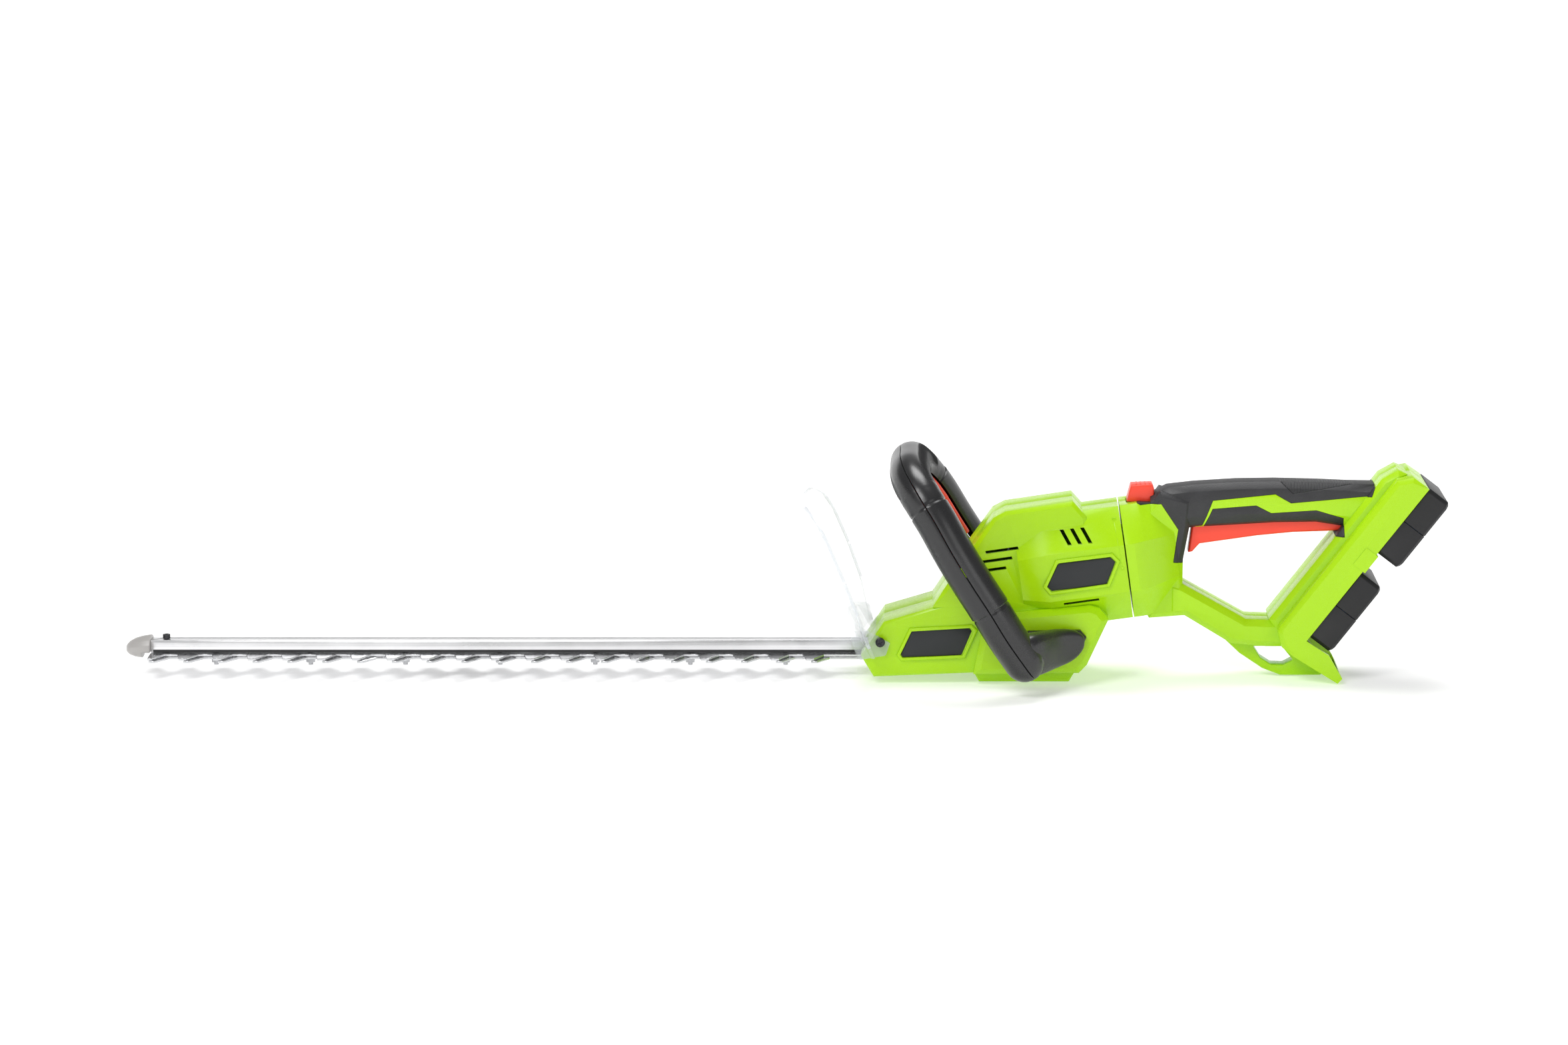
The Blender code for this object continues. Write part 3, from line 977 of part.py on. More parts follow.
def rear_handle(swivel):
    """Left and right handle mouldings, with their hub, grips and hollows."""
    body = knuckle_body("knuckle", 0)
    strut = soft_slab("strut", STRUT_OUTLINE, -STRUT_HALF, STRUT_HALF, 5 * MM)
    neck = soft_slab("neck", NECK_OUTLINE, -19 * MM, 19 * MM, 4 * MM)
    grip = grip_body("grip", 0)
    far = 0.3
    cut(grip, slope_box("bay side", (-far, far), (-far, far), (BAY_FACE - 10 * MM, far)))
    join(neck, strut, battery_plate())
    join(body, grip, neck)

    outer = copy_of(body, "grip form")
    cut(body, band("recess", UPPER_GRIP_REGION, GRIP_SKIN, FIT), band("recess", LOWER_GRIP_REGION, GRIP_SKIN, FIT))
    upper = band("upper", UPPER_GRIP_REGION, GRIP_SKIN - FIT, 0)
    combine(upper, outer, "INTERSECT", keep=True)
    lower = band("lower", LOWER_GRIP_REGION, GRIP_SKIN - FIT, 0)
    combine(lower, outer, "INTERSECT")
    # Pockets: trigger slot and pin, switch bay, knuckle, plate interior and lock button seat.
    for shape in (body, upper, lower):
        cut(shape, *trigger_pockets())
    for shape in (body, upper):
        cut(shape, box("lock seat", (84.2 * MM, -LOCK_HALF - RUN / 2, 138 * MM), (107.6 * MM, LOCK_HALF + RUN / 2, 170 * MM)))
    cut(body,
        slab("bay", outline((142, 140), (142, 154), (160, 157), (250, 157), (250, 140)), -10.5 * MM, 10.5 * MM),
        loft("knuckle room", [octagon(4 * MM, COLLAR_HALF - 4 * MM, COLLAR_HALF - 4 * MM),
                              octagon(12 * MM, COLLAR_HALF - 6 * MM, COLLAR_HALF - 5 * MM),
                              octagon(34 * MM, 20 * MM, 36 * MM)]),
        slope_box("plate room", (14 * MM, 152 * MM), (-PLATE_HALF + 4 * MM, PLATE_HALF - 4 * MM), (4 * MM, 12 * MM)))
    for start in (LOWER_PACK_START, LOWER_PACK_START + PACK_PITCH):
        cut(body, *pack_channel(start))
    # The hanging ring is a narrow web clamped between the two mouldings.
    cut(body, slab("ring seat", inset(HANG_OUTLINE, -FIT), -HANG_HALF - FIT, HANG_HALF + FIT))
    ring = soft_slab("ring", HANG_OUTLINE, -HANG_HALF, HANG_HALF, 1.5 * MM)
    cut(ring, slab("hang hole", HANG_HOLE, -0.02, 0.02))
    publish(ring, "hang_ring", "lime", swivel)

    hub = turned("hub", [(-11 * MM, HUB_RADIUS + 5 * MM), (-8 * MM, HUB_RADIUS + 5 * MM), (-8 * MM, HUB_RADIUS), (5 * MM, HUB_RADIUS),
                         (5 * MM, HUB_BORE), (-11 * MM, HUB_BORE)], SWIVEL_CENTRE, SWIVEL_AXIS, 32, closed=True)
    bore = turned("bore", [(-2 * MM, HUB_BORE), (8 * MM, HUB_BORE)], SWIVEL_CENTRE, SWIVEL_AXIS, 32)
    cut(body, bore)
    join(body, hub)
    halves(body, ("rear_handle_left", "rear_handle_right"), "lime", swivel)
    publish(upper, "upper_grip", "rubber", swivel)
    publish(lower, "lower_grip", "rubber", swivel)

    ring = washer("ring", HUB_RADIUS + RUN, COLLAR_HALF - WALL - 4 * MM, -7.4 * MM, -4.9 * MM, SWIVEL_CENTRE, SWIVEL_AXIS, 32)
    publish(ring, "swivel_ring", "steel")


def trigger_parts(trigger_axis, swivel):
    """Trigger bar, its pin, spring and switch."""
    trigger = soft_slab("trigger", TRIGGER_OUTLINE, -TRIGGER_HALF, TRIGGER_HALF, 1.2 * MM)
    hole = TRIGGER_PIN_RADIUS + 0.08 * MM
    cut(trigger, turned("hole", [(-20 * MM, hole), (20 * MM, hole)], TRIGGER_PIVOT, (0, 1, 0), 14))
    publish(trigger, "rear_trigger", "red", trigger_axis)
    publish(turned("pin", [(-12 * MM, TRIGGER_PIN_RADIUS), (12 * MM, TRIGGER_PIN_RADIUS)], TRIGGER_PIVOT, (0, 1, 0), 14),
            "trigger_pin", "steel", swivel)
    switch = slab("switch", outline((158, 143.5), (190, 143.5), (190, 156), (158, 156)), -9 * MM, 9 * MM)
    publish(switch, "trigger_switch", "black", swivel)
    base = Vector((215, 0, 132.8)) * MM
    publish(spring("spring", base, (0, 0, 1), 23.8 * MM, 3.2 * MM, 0.5 * MM, 6), "trigger_spring", "steel", swivel)


def lock_parts(lock_slide, swivel):
    """Button that frees the swivel joint, and its spring."""
    form = outline((84.6, 147.2), (88.2, 160.8), (105.6, 161.4), (107.2, 158.4), (107.2, 147.2))
    button = soft_slab("button", form, -LOCK_HALF, LOCK_HALF, MM, lambda x, z: z < 150 * MM)
    publish(button, "lock_button", "red", lock_slide)
    publish(spring("spring", Vector((96, 0, 138.6)) * MM, (0, 0, 1), 8.2 * MM, 2.6 * MM, 0.4 * MM, 3.5), "lock_spring", "steel", swivel)


# ---------------------------------------------------------------- battery packs

def pack_channel(start):
    """Cutters for the T-shaped channel that a pack slides in, open towards +Y."""
    end = start + PACK_LENGTH
    closed_end = -PACK_HALF + 1.5 * MM - RUN
    open_end = PLATE_HALF + 10 * MM
    flange = FLANGE_INSET - RUN
    neck = RAIL_INSET - RUN
    return (slope_box("flange way", (start + flange, end - flange), (closed_end, open_end), (BAY_FACE - 9 * MM, BAY_FACE - 4.2 * MM)),
            slope_box("neck way", (start + neck, end - neck), (closed_end, open_end), (BAY_FACE - 5 * MM, BAY_FACE + 5 * MM)),
            slope_box("block room", (start + 18 * MM, end - 18 * MM), (-31 * MM, -4 * MM), (BAY_FACE - 16 * MM, BAY_FACE - 8 * MM)))


def terminal_block(start, name, swivel):
    """Contact block in the plate, with two blades that enter the pack."""
    end = start + PACK_LENGTH
    block = slope_box("block", (start + 18 * MM + FIT, end - 18 * MM - FIT), (-31 * MM + FIT, -4 * MM - FIT), (BAY_FACE - 15.5 * MM, BAY_FACE - 9 * MM - FIT))
    middle = (start + end) / 2
    for shift in (-8 * MM, 8 * MM):
        blade_range = (middle + shift - 0.5 * MM, middle + shift + 0.5 * MM)
        join(block, slope_box("contact", blade_range, (-30 * MM, -14 * MM), (BAY_FACE - 10 * MM, BAY_FACE - 5.2 * MM)))
    publish(block, name, "black", swivel)


def pack_block(name, start, end, base, top):
    """Pack case with cut corners and a chamfered outer face."""
    corner = 3.0 * MM
    rings = []
    for less, out in ((0, base), (0, top - 2.5 * MM), (2.5 * MM, top)):
        low, high, side = start + less, end - less, PACK_HALF - less
        half = [(low, side - corner), (low + corner, side), (high - corner, side), (high, side - corner)]
        form = mirrored(half)
        rings.append([Vector((on_slope(up, out)[0], y, on_slope(up, out)[1])) for up, y in form])
    return loft(name, rings)


def pack(word, start, slide, latch_slide):
    """Two case halves, the cell block and the latch button of one pack."""
    end = start + PACK_LENGTH
    middle = (start + end) / 2
    base = BAY_FACE + 0.5 * MM
    top = base + PACK_PROUD
    case = pack_block("case", start, end, base, top)
    join(case, slope_box("neck", (start + RAIL_INSET, end - RAIL_INSET), (-PACK_HALF + 1.5 * MM, PACK_HALF), (BAY_FACE - 5 * MM, base + MM)),
         slope_box("flange", (start + FLANGE_INSET, end - FLANGE_INSET), (-PACK_HALF + 1.5 * MM, PACK_HALF), (BAY_FACE - 8.4 * MM, BAY_FACE - 4.8 * MM)))
    cut(case, slope_box("room", (start + PACK_WALL, end - PACK_WALL), (-PACK_HALF + PACK_WALL, PACK_HALF - 9 * MM), (base + PACK_WALL, top - PACK_WALL)))
    for shift in (-8 * MM, 8 * MM):
        cut(case, slope_box("contact way", (middle + shift - 1.2 * MM, middle + shift + 1.2 * MM),
                            (-PACK_HALF - MM, -12 * MM), (BAY_FACE - 10 * MM, BAY_FACE - 4.6 * MM)))
    latch_out = (base + 6 * MM, base + 15 * MM)
    latch_up = (start + 10 * MM, start + 10 * MM + 2 * LATCH_HALF)
    cut(case, slope_box("latch seat", (latch_up[0] - RUN, latch_up[1] + RUN), (PACK_HALF - 6.5 * MM, PACK_HALF + MM), (latch_out[0] - RUN, latch_out[1] + RUN)))
    other = copy_of(case, "case half")
    far = 0.1
    cut(case, slope_box("half", (middle - FIT / 2, end + far), (-far, far), (-far, far)))
    cut(other, slope_box("half", (start - far, middle + FIT / 2), (-far, far), (-far, far)))
    publish(case, f"{word}_pack_case_rear", "black", slide)
    publish(other, f"{word}_pack_case_front", "black", slide)
    cells = slope_box("cells", (start + PACK_WALL + FIT, end - PACK_WALL - FIT), (-PACK_HALF + PACK_WALL + FIT, PACK_HALF - 9 * MM - FIT),
                      (base + PACK_WALL + FIT, top - PACK_WALL - FIT))
    publish(cells, f"{word}_pack_cells", "cell", slide)
    button = slope_box("latch", latch_up, (PACK_HALF - 2.6 * MM, PACK_HALF + 1.2 * MM), latch_out)
    publish(button, f"{word}_pack_latch", "black", latch_slide)


def build():
    """Clear the file and make every piece of the trimmer."""
    for old in list(bpy.data.objects):
        bpy.data.objects.remove(old)
    crank = joint_empty("crank_axis", (CRANK_X, 0, GEAR_Z))
    spindle = joint_empty("motor_axis", (MOTOR_X, 0, GEAR_Z))
    upper_slide = joint_empty("upper_blade_slide", (CRANK_X, 0, UPPER_BLADE_Z))
    lower_slide = joint_empty("lower_blade_slide", (CRANK_X, 0, BLADE_BASE_Z))
    switch_slide = joint_empty("front_switch_slide", loop_line()[len(loop_line()) // 2])
    swivel = joint_empty("swivel_axis", SWIVEL_CENTRE)
    trigger_axis = joint_empty("trigger_axis", TRIGGER_PIVOT, swivel)
    lock_slide = joint_empty("lock_slide", Vector((96, 0, 147)) * MM, swivel)

    blade("upper_blade", UPPER_TOOTH, UPPER_BLADE_Z, upper_slide)
    blade("lower_blade", LOWER_TOOTH, BLADE_BASE_Z, lower_slide)
    blade_rail()
    blade_bolts()
    nose_parts()
    drive(crank, spindle)
    casing()
    labels()
    foot_cover()
    hand_guard()
    loop_handle(switch_slide)
    rear_handle(swivel)
    trigger_parts(trigger_axis, swivel)
    lock_parts(lock_slide, swivel)
    for word, start in (("lower", LOWER_PACK_START), ("upper", LOWER_PACK_START + PACK_PITCH)):
        terminal_block(start, f"{word}_terminals", swivel)
        place = SLOPE_FOOT + SLOPE_UP * (start + PACK_LENGTH / 2) + SLOPE_OUT * BAY_FACE
        slide = joint_empty(f"{word}_pack_slide", place, swivel)
        latch_slide = joint_empty(f"{word}_latch_slide", place + Vector((0, PACK_HALF, 0)), slide)
        pack(word, start, slide, latch_slide)


build()
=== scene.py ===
"""Looks of a cordless hedge trimmer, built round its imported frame.

The blades run along -X, +Z is up and -Y is the user's left. All lengths are metres.
"""

from __future__ import annotations

import logging
import math
from dataclasses import dataclass, field
from enum import Enum
from typing import Sequence

import bmesh
import bpy
from mathutils import Matrix, Vector


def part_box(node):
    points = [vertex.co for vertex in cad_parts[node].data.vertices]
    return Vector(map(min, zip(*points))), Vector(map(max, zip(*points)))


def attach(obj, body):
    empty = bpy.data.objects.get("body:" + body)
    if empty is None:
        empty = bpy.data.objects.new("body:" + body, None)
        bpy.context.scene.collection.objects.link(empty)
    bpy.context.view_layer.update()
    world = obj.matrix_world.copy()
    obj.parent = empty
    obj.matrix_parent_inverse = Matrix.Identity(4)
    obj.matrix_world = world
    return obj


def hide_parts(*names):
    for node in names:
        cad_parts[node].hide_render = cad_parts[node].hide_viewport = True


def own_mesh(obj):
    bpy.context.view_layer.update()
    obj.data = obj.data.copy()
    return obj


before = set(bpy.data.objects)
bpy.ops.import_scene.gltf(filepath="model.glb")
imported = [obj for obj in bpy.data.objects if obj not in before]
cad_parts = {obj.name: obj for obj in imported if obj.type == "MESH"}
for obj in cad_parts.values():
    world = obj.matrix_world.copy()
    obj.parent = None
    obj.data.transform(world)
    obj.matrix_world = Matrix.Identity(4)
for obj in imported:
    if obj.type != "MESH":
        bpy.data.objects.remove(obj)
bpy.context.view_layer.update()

MM = 0.001
MERGE = 0.01 * MM   # points closer than this are one
SIDES = (("left", -1), ("right", 1))
log = logging.getLogger("hedge_trimmer")

Point = tuple[float, float]
Colour = tuple[float, float, float]


class Body(Enum):
    """Rigid bodies of the frame that new pieces ride on."""

    CASING = "casing"
    UPPER_BLADE = "upper_blade"
    LOWER_BLADE = "lower_blade"
    REAR_HANDLE = "rear_handle"
    TRIGGER = "trigger"
    LOCK = "lock"
    SWITCH_BAR = "switch_bar"
    LOWER_PACK = "lower_pack"
    LOWER_LATCH = "lower_latch"
    UPPER_PACK = "upper_pack"
    UPPER_LATCH = "upper_latch"


# -------- shader maths

class Sock:
    """A value in a material, with the maths that shader expressions use."""

    def __init__(self, tree: bpy.types.NodeTree, socket: bpy.types.NodeSocket) -> None:
        """Wrap an output socket of a node tree."""
        self.tree = tree
        self.socket = socket

    def _math(self, operation: str, *values: "Sock | float") -> "Sock":
        """Add one Math node.

        Args:
            operation: name of the Math node's operation.
            values: its inputs in order, sockets or numbers.

        Returns:
            The node's result.
        """
        node = self.tree.nodes.new("ShaderNodeMath")
        node.operation = operation
        for slot, value in zip(node.inputs, values):
            if isinstance(value, Sock):
                self.tree.links.new(value.socket, slot)
            else:
                slot.default_value = value
        return Sock(self.tree, node.outputs[0])

    def __add__(self, other: "Sock | float") -> "Sock":
        """Sum."""
        return self._math("ADD", self, other)

    def __sub__(self, other: "Sock | float") -> "Sock":
        """Difference."""
        return self._math("SUBTRACT", self, other)

    def __rsub__(self, other: float) -> "Sock":
        """Difference from a number."""
        return self._math("SUBTRACT", other, self)

    def __mul__(self, other: "Sock | float") -> "Sock":
        """Product."""
        return self._math("MULTIPLY", self, other)

    __radd__ = __add__
    __rmul__ = __mul__

    def __abs__(self) -> "Sock":
        """Size without sign."""
        return self._math("ABSOLUTE", self)

    def sine(self) -> "Sock":
        """Sine of an angle in radians."""
        return self._math("SINE", self)

    def root(self) -> "Sock":
        """Square root."""
        return self._math("SQRT", self)

    def least(self, other: "Sock | float") -> "Sock":
        """Smaller of two values."""
        return self._math("MINIMUM", self, other)

    def ramp(self, low: float, high: float) -> "Sock":
        """Zero at low, one at high, smooth between."""
        node = self.tree.nodes.new("ShaderNodeMapRange")
        node.interpolation_type = "SMOOTHSTEP"
        self.tree.links.new(self.socket, node.inputs["Value"])
        node.inputs["From Min"].default_value = low
        node.inputs["From Max"].default_value = high
        return Sock(self.tree, node.outputs["Result"])


class Recipe:
    """Node tree of one finish: a Principled shader and what feeds it."""

    def __init__(self, name: str) -> None:
        """Start an empty finish.

        Args:
            name: name of the material.
        """
        self.material = bpy.data.materials.new(name)
        self.material.use_nodes = True
        self.tree = self.material.node_tree
        self.shader = self.tree.nodes["Principled BSDF"]
        self.place = self.node("ShaderNodeTexCoord", output="Object")

    def node(self, kind: str, settings: dict | None = None, output: str | int = 0, **inputs: object) -> Sock:
        """Add a node.

        Args:
            kind: type of the node.
            settings: attributes of the node, set before its inputs.
            output: name or number of the output wanted.
            inputs: sockets by name with underscores for spaces, as values or links.

        Returns:
            The wanted output.
        """
        node = self.tree.nodes.new(kind)
        for key, value in (settings or {}).items():
            setattr(node, key, value)
        for key, value in inputs.items():
            slot = node.inputs[key.replace("_", " ")]
            if isinstance(value, Sock):
                self.tree.links.new(value.socket, slot)
            else:
                slot.default_value = value
        return Sock(self.tree, node.outputs[output])

    def feed(self, name: str, value: "Sock | float | Colour") -> None:
        """Set or link a socket of the shader."""
        slot = self.shader.inputs[name]
        if isinstance(value, Sock):
            self.tree.links.new(value.socket, slot)
        elif isinstance(value, tuple) and len(value) == 3 and slot.type == "RGBA":
            slot.default_value = (*value, 1.0)
        else:
            slot.default_value = value

    def stretched(self, scale: tuple[float, float, float]) -> Sock:
        """Object coordinates scaled along each axis."""
        return self.node("ShaderNodeMapping", {}, "Vector", Vector=self.place, Scale=scale)

    def noise(self, scale: float, detail: float = 2.0, rough: float = 0.5,
              place: "Sock | None" = None) -> Sock:
        """Soft noise from 0 to 1."""
        return self.node("ShaderNodeTexNoise", {}, 0, Vector=place or self.place, Scale=scale, Detail=detail,
                         Roughness=rough)

    def cells(self, scale: float) -> Sock:
        """Distance to the nearest of scattered points."""
        return self.node("ShaderNodeTexVoronoi", {}, "Distance", Vector=self.place, Scale=scale)

    def axis(self, letter: str) -> Sock:
        """One of the object coordinates."""
        return self.node("ShaderNodeSeparateXYZ", {}, letter, Vector=self.place)

    def blend(self, share: "Sock | float", low: "Sock | Colour", high: "Sock | Colour") -> Sock:
        """Mix two colours."""
        node = self.tree.nodes.new("ShaderNodeMix")
        node.data_type = "RGBA"
        factor, low_slot, high_slot = node.inputs[0], node.inputs[6], node.inputs[7]
        for slot, value in ((factor, share), (low_slot, low), (high_slot, high)):
            if isinstance(value, Sock):
                self.tree.links.new(value.socket, slot)
            elif isinstance(value, tuple):
                slot.default_value = (*value, 1.0)
            else:
                slot.default_value = value
        return Sock(self.tree, node.outputs[2])

    def relief(self, height: Sock, depth: float, strength: float = 1.0, under: "Sock | None" = None) -> Sock:
        """Bump from a height between 0 and 1 that stands depth metres high."""
        inputs = {"Height": height, "Distance": depth, "Strength": strength}
        if under is not None:
            inputs["Normal"] = under
        return self.node("ShaderNodeBump", {}, "Normal", **inputs)


# -------- finishes

@dataclass(frozen=True)
class Moulding:
    """Moulded plastic with a fine spark texture and slightly paler edges, a painted highlight."""

    name: str
    colour: Colour
    tint: Colour
    roughness: float = 0.36
    grain: float = 1800.0
    depth: float = 0.03 * MM
    # edge: strength of the painted highlight on convex edges.
    edge: float = 0.12
    gloss: float = 0.5

    def material(self) -> bpy.types.Material:
        """Build the finish."""
        recipe = Recipe(self.name)
        cloud = recipe.noise(9.0, 3.0)
        spark = recipe.noise(self.grain, 2.0, 0.6)
        tone = recipe.blend(cloud.ramp(0.3, 0.7) * 0.6, self.colour, self.tint)
        # Painted highlight: convex edges, picked by pointiness, are blended towards a paler colour.
        edge_highlight = recipe.node("ShaderNodeNewGeometry", {}, "Pointiness").ramp(0.52, 0.62) * self.edge
        highlight_tone = tuple(min(1.0, part * 1.25 + 0.04) for part in self.colour)
        recipe.feed("Base Color", recipe.blend(edge_highlight, tone, highlight_tone))
        smear = recipe.noise(55.0, 4.0, 0.65)
        recipe.feed("Roughness", self.roughness + (spark - 0.5) * 0.10 + (smear - 0.5) * 0.10)
        recipe.feed("Specular IOR Level", self.gloss)
        recipe.feed("Normal", recipe.relief(spark, self.depth))
        return recipe.material


@dataclass(frozen=True)
class SoftGrip:
    """Rubbery overmould, stippled, a little dusty, with a ribbed patch at the top of its rear end."""

    name: str
    colour: Colour
    pitch: float = 700.0
    ribs: float = 2.3 * MM
    patch_x: float = 221.0 * MM
    patch_z: float = 154.8 * MM
    steep: float = 0.89
    shallow: float = 0.142

    def material(self) -> bpy.types.Material:
        """Build the finish."""
        recipe = Recipe(self.name)
        dots = recipe.cells(self.pitch)
        dust = recipe.noise(40.0, 5.0, 0.7)
        along, up = recipe.axis("X"), recipe.axis("Z")
        # Two sloping lines that meet at the patch's lowest point bound it.
        left = up - self.patch_z + (along - self.patch_x) * self.steep
        right = up - self.patch_z - (along - self.patch_x) * self.shallow
        edge = left.least(right)
        patch = edge.ramp(0.0, 0.5 * MM)
        line = 1.0 - abs(edge).ramp(0.0, 0.55 * MM)
        ribs = (along * (2 * math.pi / self.ribs)).sine().ramp(-0.4, 0.6)
        grey = tuple(part * 1.5 + 0.008 for part in self.colour)
        recipe.feed("Base Color", recipe.blend(dust.ramp(0.4, 0.8) * 0.5, self.colour, grey))
        recipe.feed("Roughness", 0.50 + (dust - 0.5) * 0.16)
        fine = recipe.relief(dots.ramp(0.1, 0.6), 0.05 * MM)
        recipe.feed("Normal", recipe.relief(ribs * patch - line * 1.2, 0.45 * MM, 1.0, fine))
        return recipe.material


@dataclass(frozen=True)
class Metal:
    """Drawn, ground or blackened metal with fine lines along one axis."""

    name: str
    colour: Colour
    roughness: float = 0.3
    lines: tuple[float, float, float] = (2.0, 900.0, 900.0)
    depth: float = 0.01 * MM

    def material(self) -> bpy.types.Material:
        """Build the finish."""
        recipe = Recipe(self.name)
        streak = recipe.noise(1.0, 3.0, 0.6, recipe.stretched(self.lines))
        cloud = recipe.noise(18.0, 4.0, 0.6)
        dull = tuple(part * 0.80 for part in self.colour)
        recipe.feed("Metallic", 1.0)
        shine = (streak * 0.6 + cloud * 0.4).ramp(0.35, 0.65)
        recipe.feed("Base Color", recipe.blend(shine, dull, self.colour))
        recipe.feed("Roughness", self.roughness + (streak - 0.5) * 0.16 + (cloud - 0.5) * 0.12)
        recipe.feed("Normal", recipe.relief(streak, self.depth))
        return recipe.material


@dataclass(frozen=True)
class ClearPlastic:
    """Clear shield plastic that shows mostly at its rim."""

    name: str
    cover: float

    def material(self) -> bpy.types.Material:
        """Build the finish."""
        recipe = Recipe(self.name)
        haze = recipe.noise(30.0, 3.0)
        recipe.feed("Base Color", recipe.blend(haze, (0.60, 0.64, 0.69), (0.70, 0.73, 0.76)))
        recipe.feed("Roughness", 0.05 + haze * 0.05)
        recipe.feed("Alpha", self.cover * (0.85 + haze * 0.3))
        recipe.feed("Coat Weight", 0.6)
        recipe.feed("Coat Roughness", 0.04)
        recipe.feed("Normal", recipe.relief(recipe.noise(12.0, 2.0), 0.02 * MM, 0.4))
        return recipe.material


LIME = Moulding("lime_plastic", (0.38, 0.675, 0.002), (0.35, 0.64, 0.002),
                0.27, 2200.0, 0.02 * MM, gloss=0.36)
BLACK = Moulding("black_plastic", (0.022, 0.022, 0.023), (0.028, 0.028, 0.030),
                 0.42, 1500.0, 0.04 * MM, gloss=0.42)
LOOP_BLACK = Moulding("loop_plastic", (0.014, 0.014, 0.015), (0.019, 0.019, 0.020),
                      0.29, 1700.0, 0.012 * MM, gloss=0.55)
PACK_BLACK = Moulding("pack_plastic", (0.011, 0.011, 0.012), (0.015, 0.015, 0.016),
                      0.44, 1300.0, 0.06 * MM, gloss=0.35)
RED = Moulding("red_plastic", (0.90, 0.055, 0.022), (0.84, 0.045, 0.018), 0.34, 2200.0, 0.02 * MM)
GREY = Moulding("grey_plastic", (0.40, 0.385, 0.37), (0.35, 0.34, 0.33), 0.36, 1500.0, 0.05 * MM)
PLATE = Moulding("name_plate", (0.018, 0.020, 0.022), (0.015, 0.017, 0.019),
                 0.36, 2500.0, 0.01 * MM, gloss=0.35)
CIRCUIT = Moulding("circuit_board", (0.02, 0.16, 0.05), (0.03, 0.22, 0.08), 0.4, 700.0, 0.1 * MM)
CELL_WRAP = Moulding("cell_wrap", (0.03, 0.16, 0.42), (0.04, 0.2, 0.5), 0.35, 900.0, 0.03 * MM)
GRIP = SoftGrip("soft_grip", (0.020, 0.020, 0.022))
ALUMINIUM = Metal("rail_aluminium", (0.93, 0.93, 0.94), 0.30)
BLADE = Metal("blade_steel", (0.62, 0.625, 0.64), 0.24, (500.0, 60.0, 500.0))
STEEL = Metal("plain_steel", (0.46, 0.465, 0.48), 0.28, (300.0, 300.0, 900.0))
DARK_STEEL = Metal("dark_steel", (0.06, 0.06, 0.065), 0.4, (400.0, 400.0, 400.0))
CLEAR = ClearPlastic("clear_shield", 0.17)
CLEAR_SLEEVE = ClearPlastic("clear_sleeve", 0.26)
CLEAR_RIM = ClearPlastic("clear_rim", 0.62)


class Paintbox:
    """Builds each finish once and hands out its material."""

    def __init__(self) -> None:
        """Start with no finish built."""
        self.made: dict[str, bpy.types.Material] = {}

    def get(self, finish: "Moulding | SoftGrip | Metal | ClearPlastic") -> bpy.types.Material:
        """Material of a finish.

        Args:
            finish: the finish wanted.

        Returns:
            Its material, built on first use.
        """
        if finish.name not in self.made:
            self.made[finish.name] = finish.material()
        return self.made[finish.name]


paints = Paintbox()


# -------- modelling

def only(piece: bpy.types.Object) -> None:
    """Select one object alone and make it active."""
    if bpy.context.mode != "OBJECT":
        bpy.ops.object.mode_set(mode="OBJECT")
    bpy.ops.object.select_all(action="DESELECT")
    piece.select_set(True)
    bpy.context.view_layer.objects.active = piece


def modify(piece: bpy.types.Object, kind: str, **settings: object) -> bpy.types.Object:
    """Add a modifier and apply it.

    Args:
        piece: object to change.
        kind: type of the modifier.
        settings: its attributes.

    Returns:
        The same object.
    """
    only(piece)
    modifier = piece.modifiers.new(kind.lower(), kind)
    for key, value in settings.items():
        setattr(modifier, key, value)
    bpy.ops.object.modifier_apply(modifier=modifier.name)
    return piece


def sweep(name: str, rings: Sequence[Sequence[Vector]], closed: bool = False) -> bpy.types.Object:
    """Skin equal rings of points.

    Args:
        name: name of the new piece.
        rings: the section's points at each station.
        closed: join the last ring to the first instead of capping both.

    Returns:
        The new piece, with outward faces.
    """
    count = len(rings[0])
    mesh = bpy.data.meshes.new(name)
    shape = bmesh.new()
    loops = [[shape.verts.new(point) for point in ring] for ring in rings]
    spans = list(zip(loops, loops[1:])) + ([(loops[-1], loops[0])] if closed else [])
    for here, there in spans:
        for i in range(count):
            j = (i + 1) % count
            shape.faces.new((here[i], here[j], there[j], there[i]))
    if not closed:
        shape.faces.new(loops[0])
        shape.faces.new(loops[-1])
    bmesh.ops.recalc_face_normals(shape, faces=shape.faces)
    if shape.calc_volume(signed=True) < 0:
        bmesh.ops.reverse_faces(shape, faces=shape.faces)
    shape.to_mesh(mesh)
    shape.free()
    piece = bpy.data.objects.new(name, mesh)
    bpy.context.collection.objects.link(piece)
    return piece


def smooth(piece: bpy.types.Object, degrees: float = 32.0) -> bpy.types.Object:
    """Shade smooth except across sharper edges."""
    only(piece)
    bpy.ops.object.shade_smooth_by_angle(angle=math.radians(degrees))
    return piece


def show(piece: bpy.types.Object, body: Body, finish: object, slot: str, *nodes: str) -> bpy.types.Object:
    """Give a finished piece its material and body, and hide the nodes it stands for.

    Args:
        piece: finished piece, placed by its mesh.
        body: body it rides on.
        finish: its finish.
        slot: not used.
        nodes: frame nodes it replaces.

    Returns:
        The piece.
    """
    piece.data.materials.clear()
    piece.data.materials.append(paints.get(finish))
    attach(piece, body.value)
    if nodes:
        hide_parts(*nodes)
    log.info("%s: %d faces on %s", piece.name, len(piece.data.polygons), body.value)
    return piece


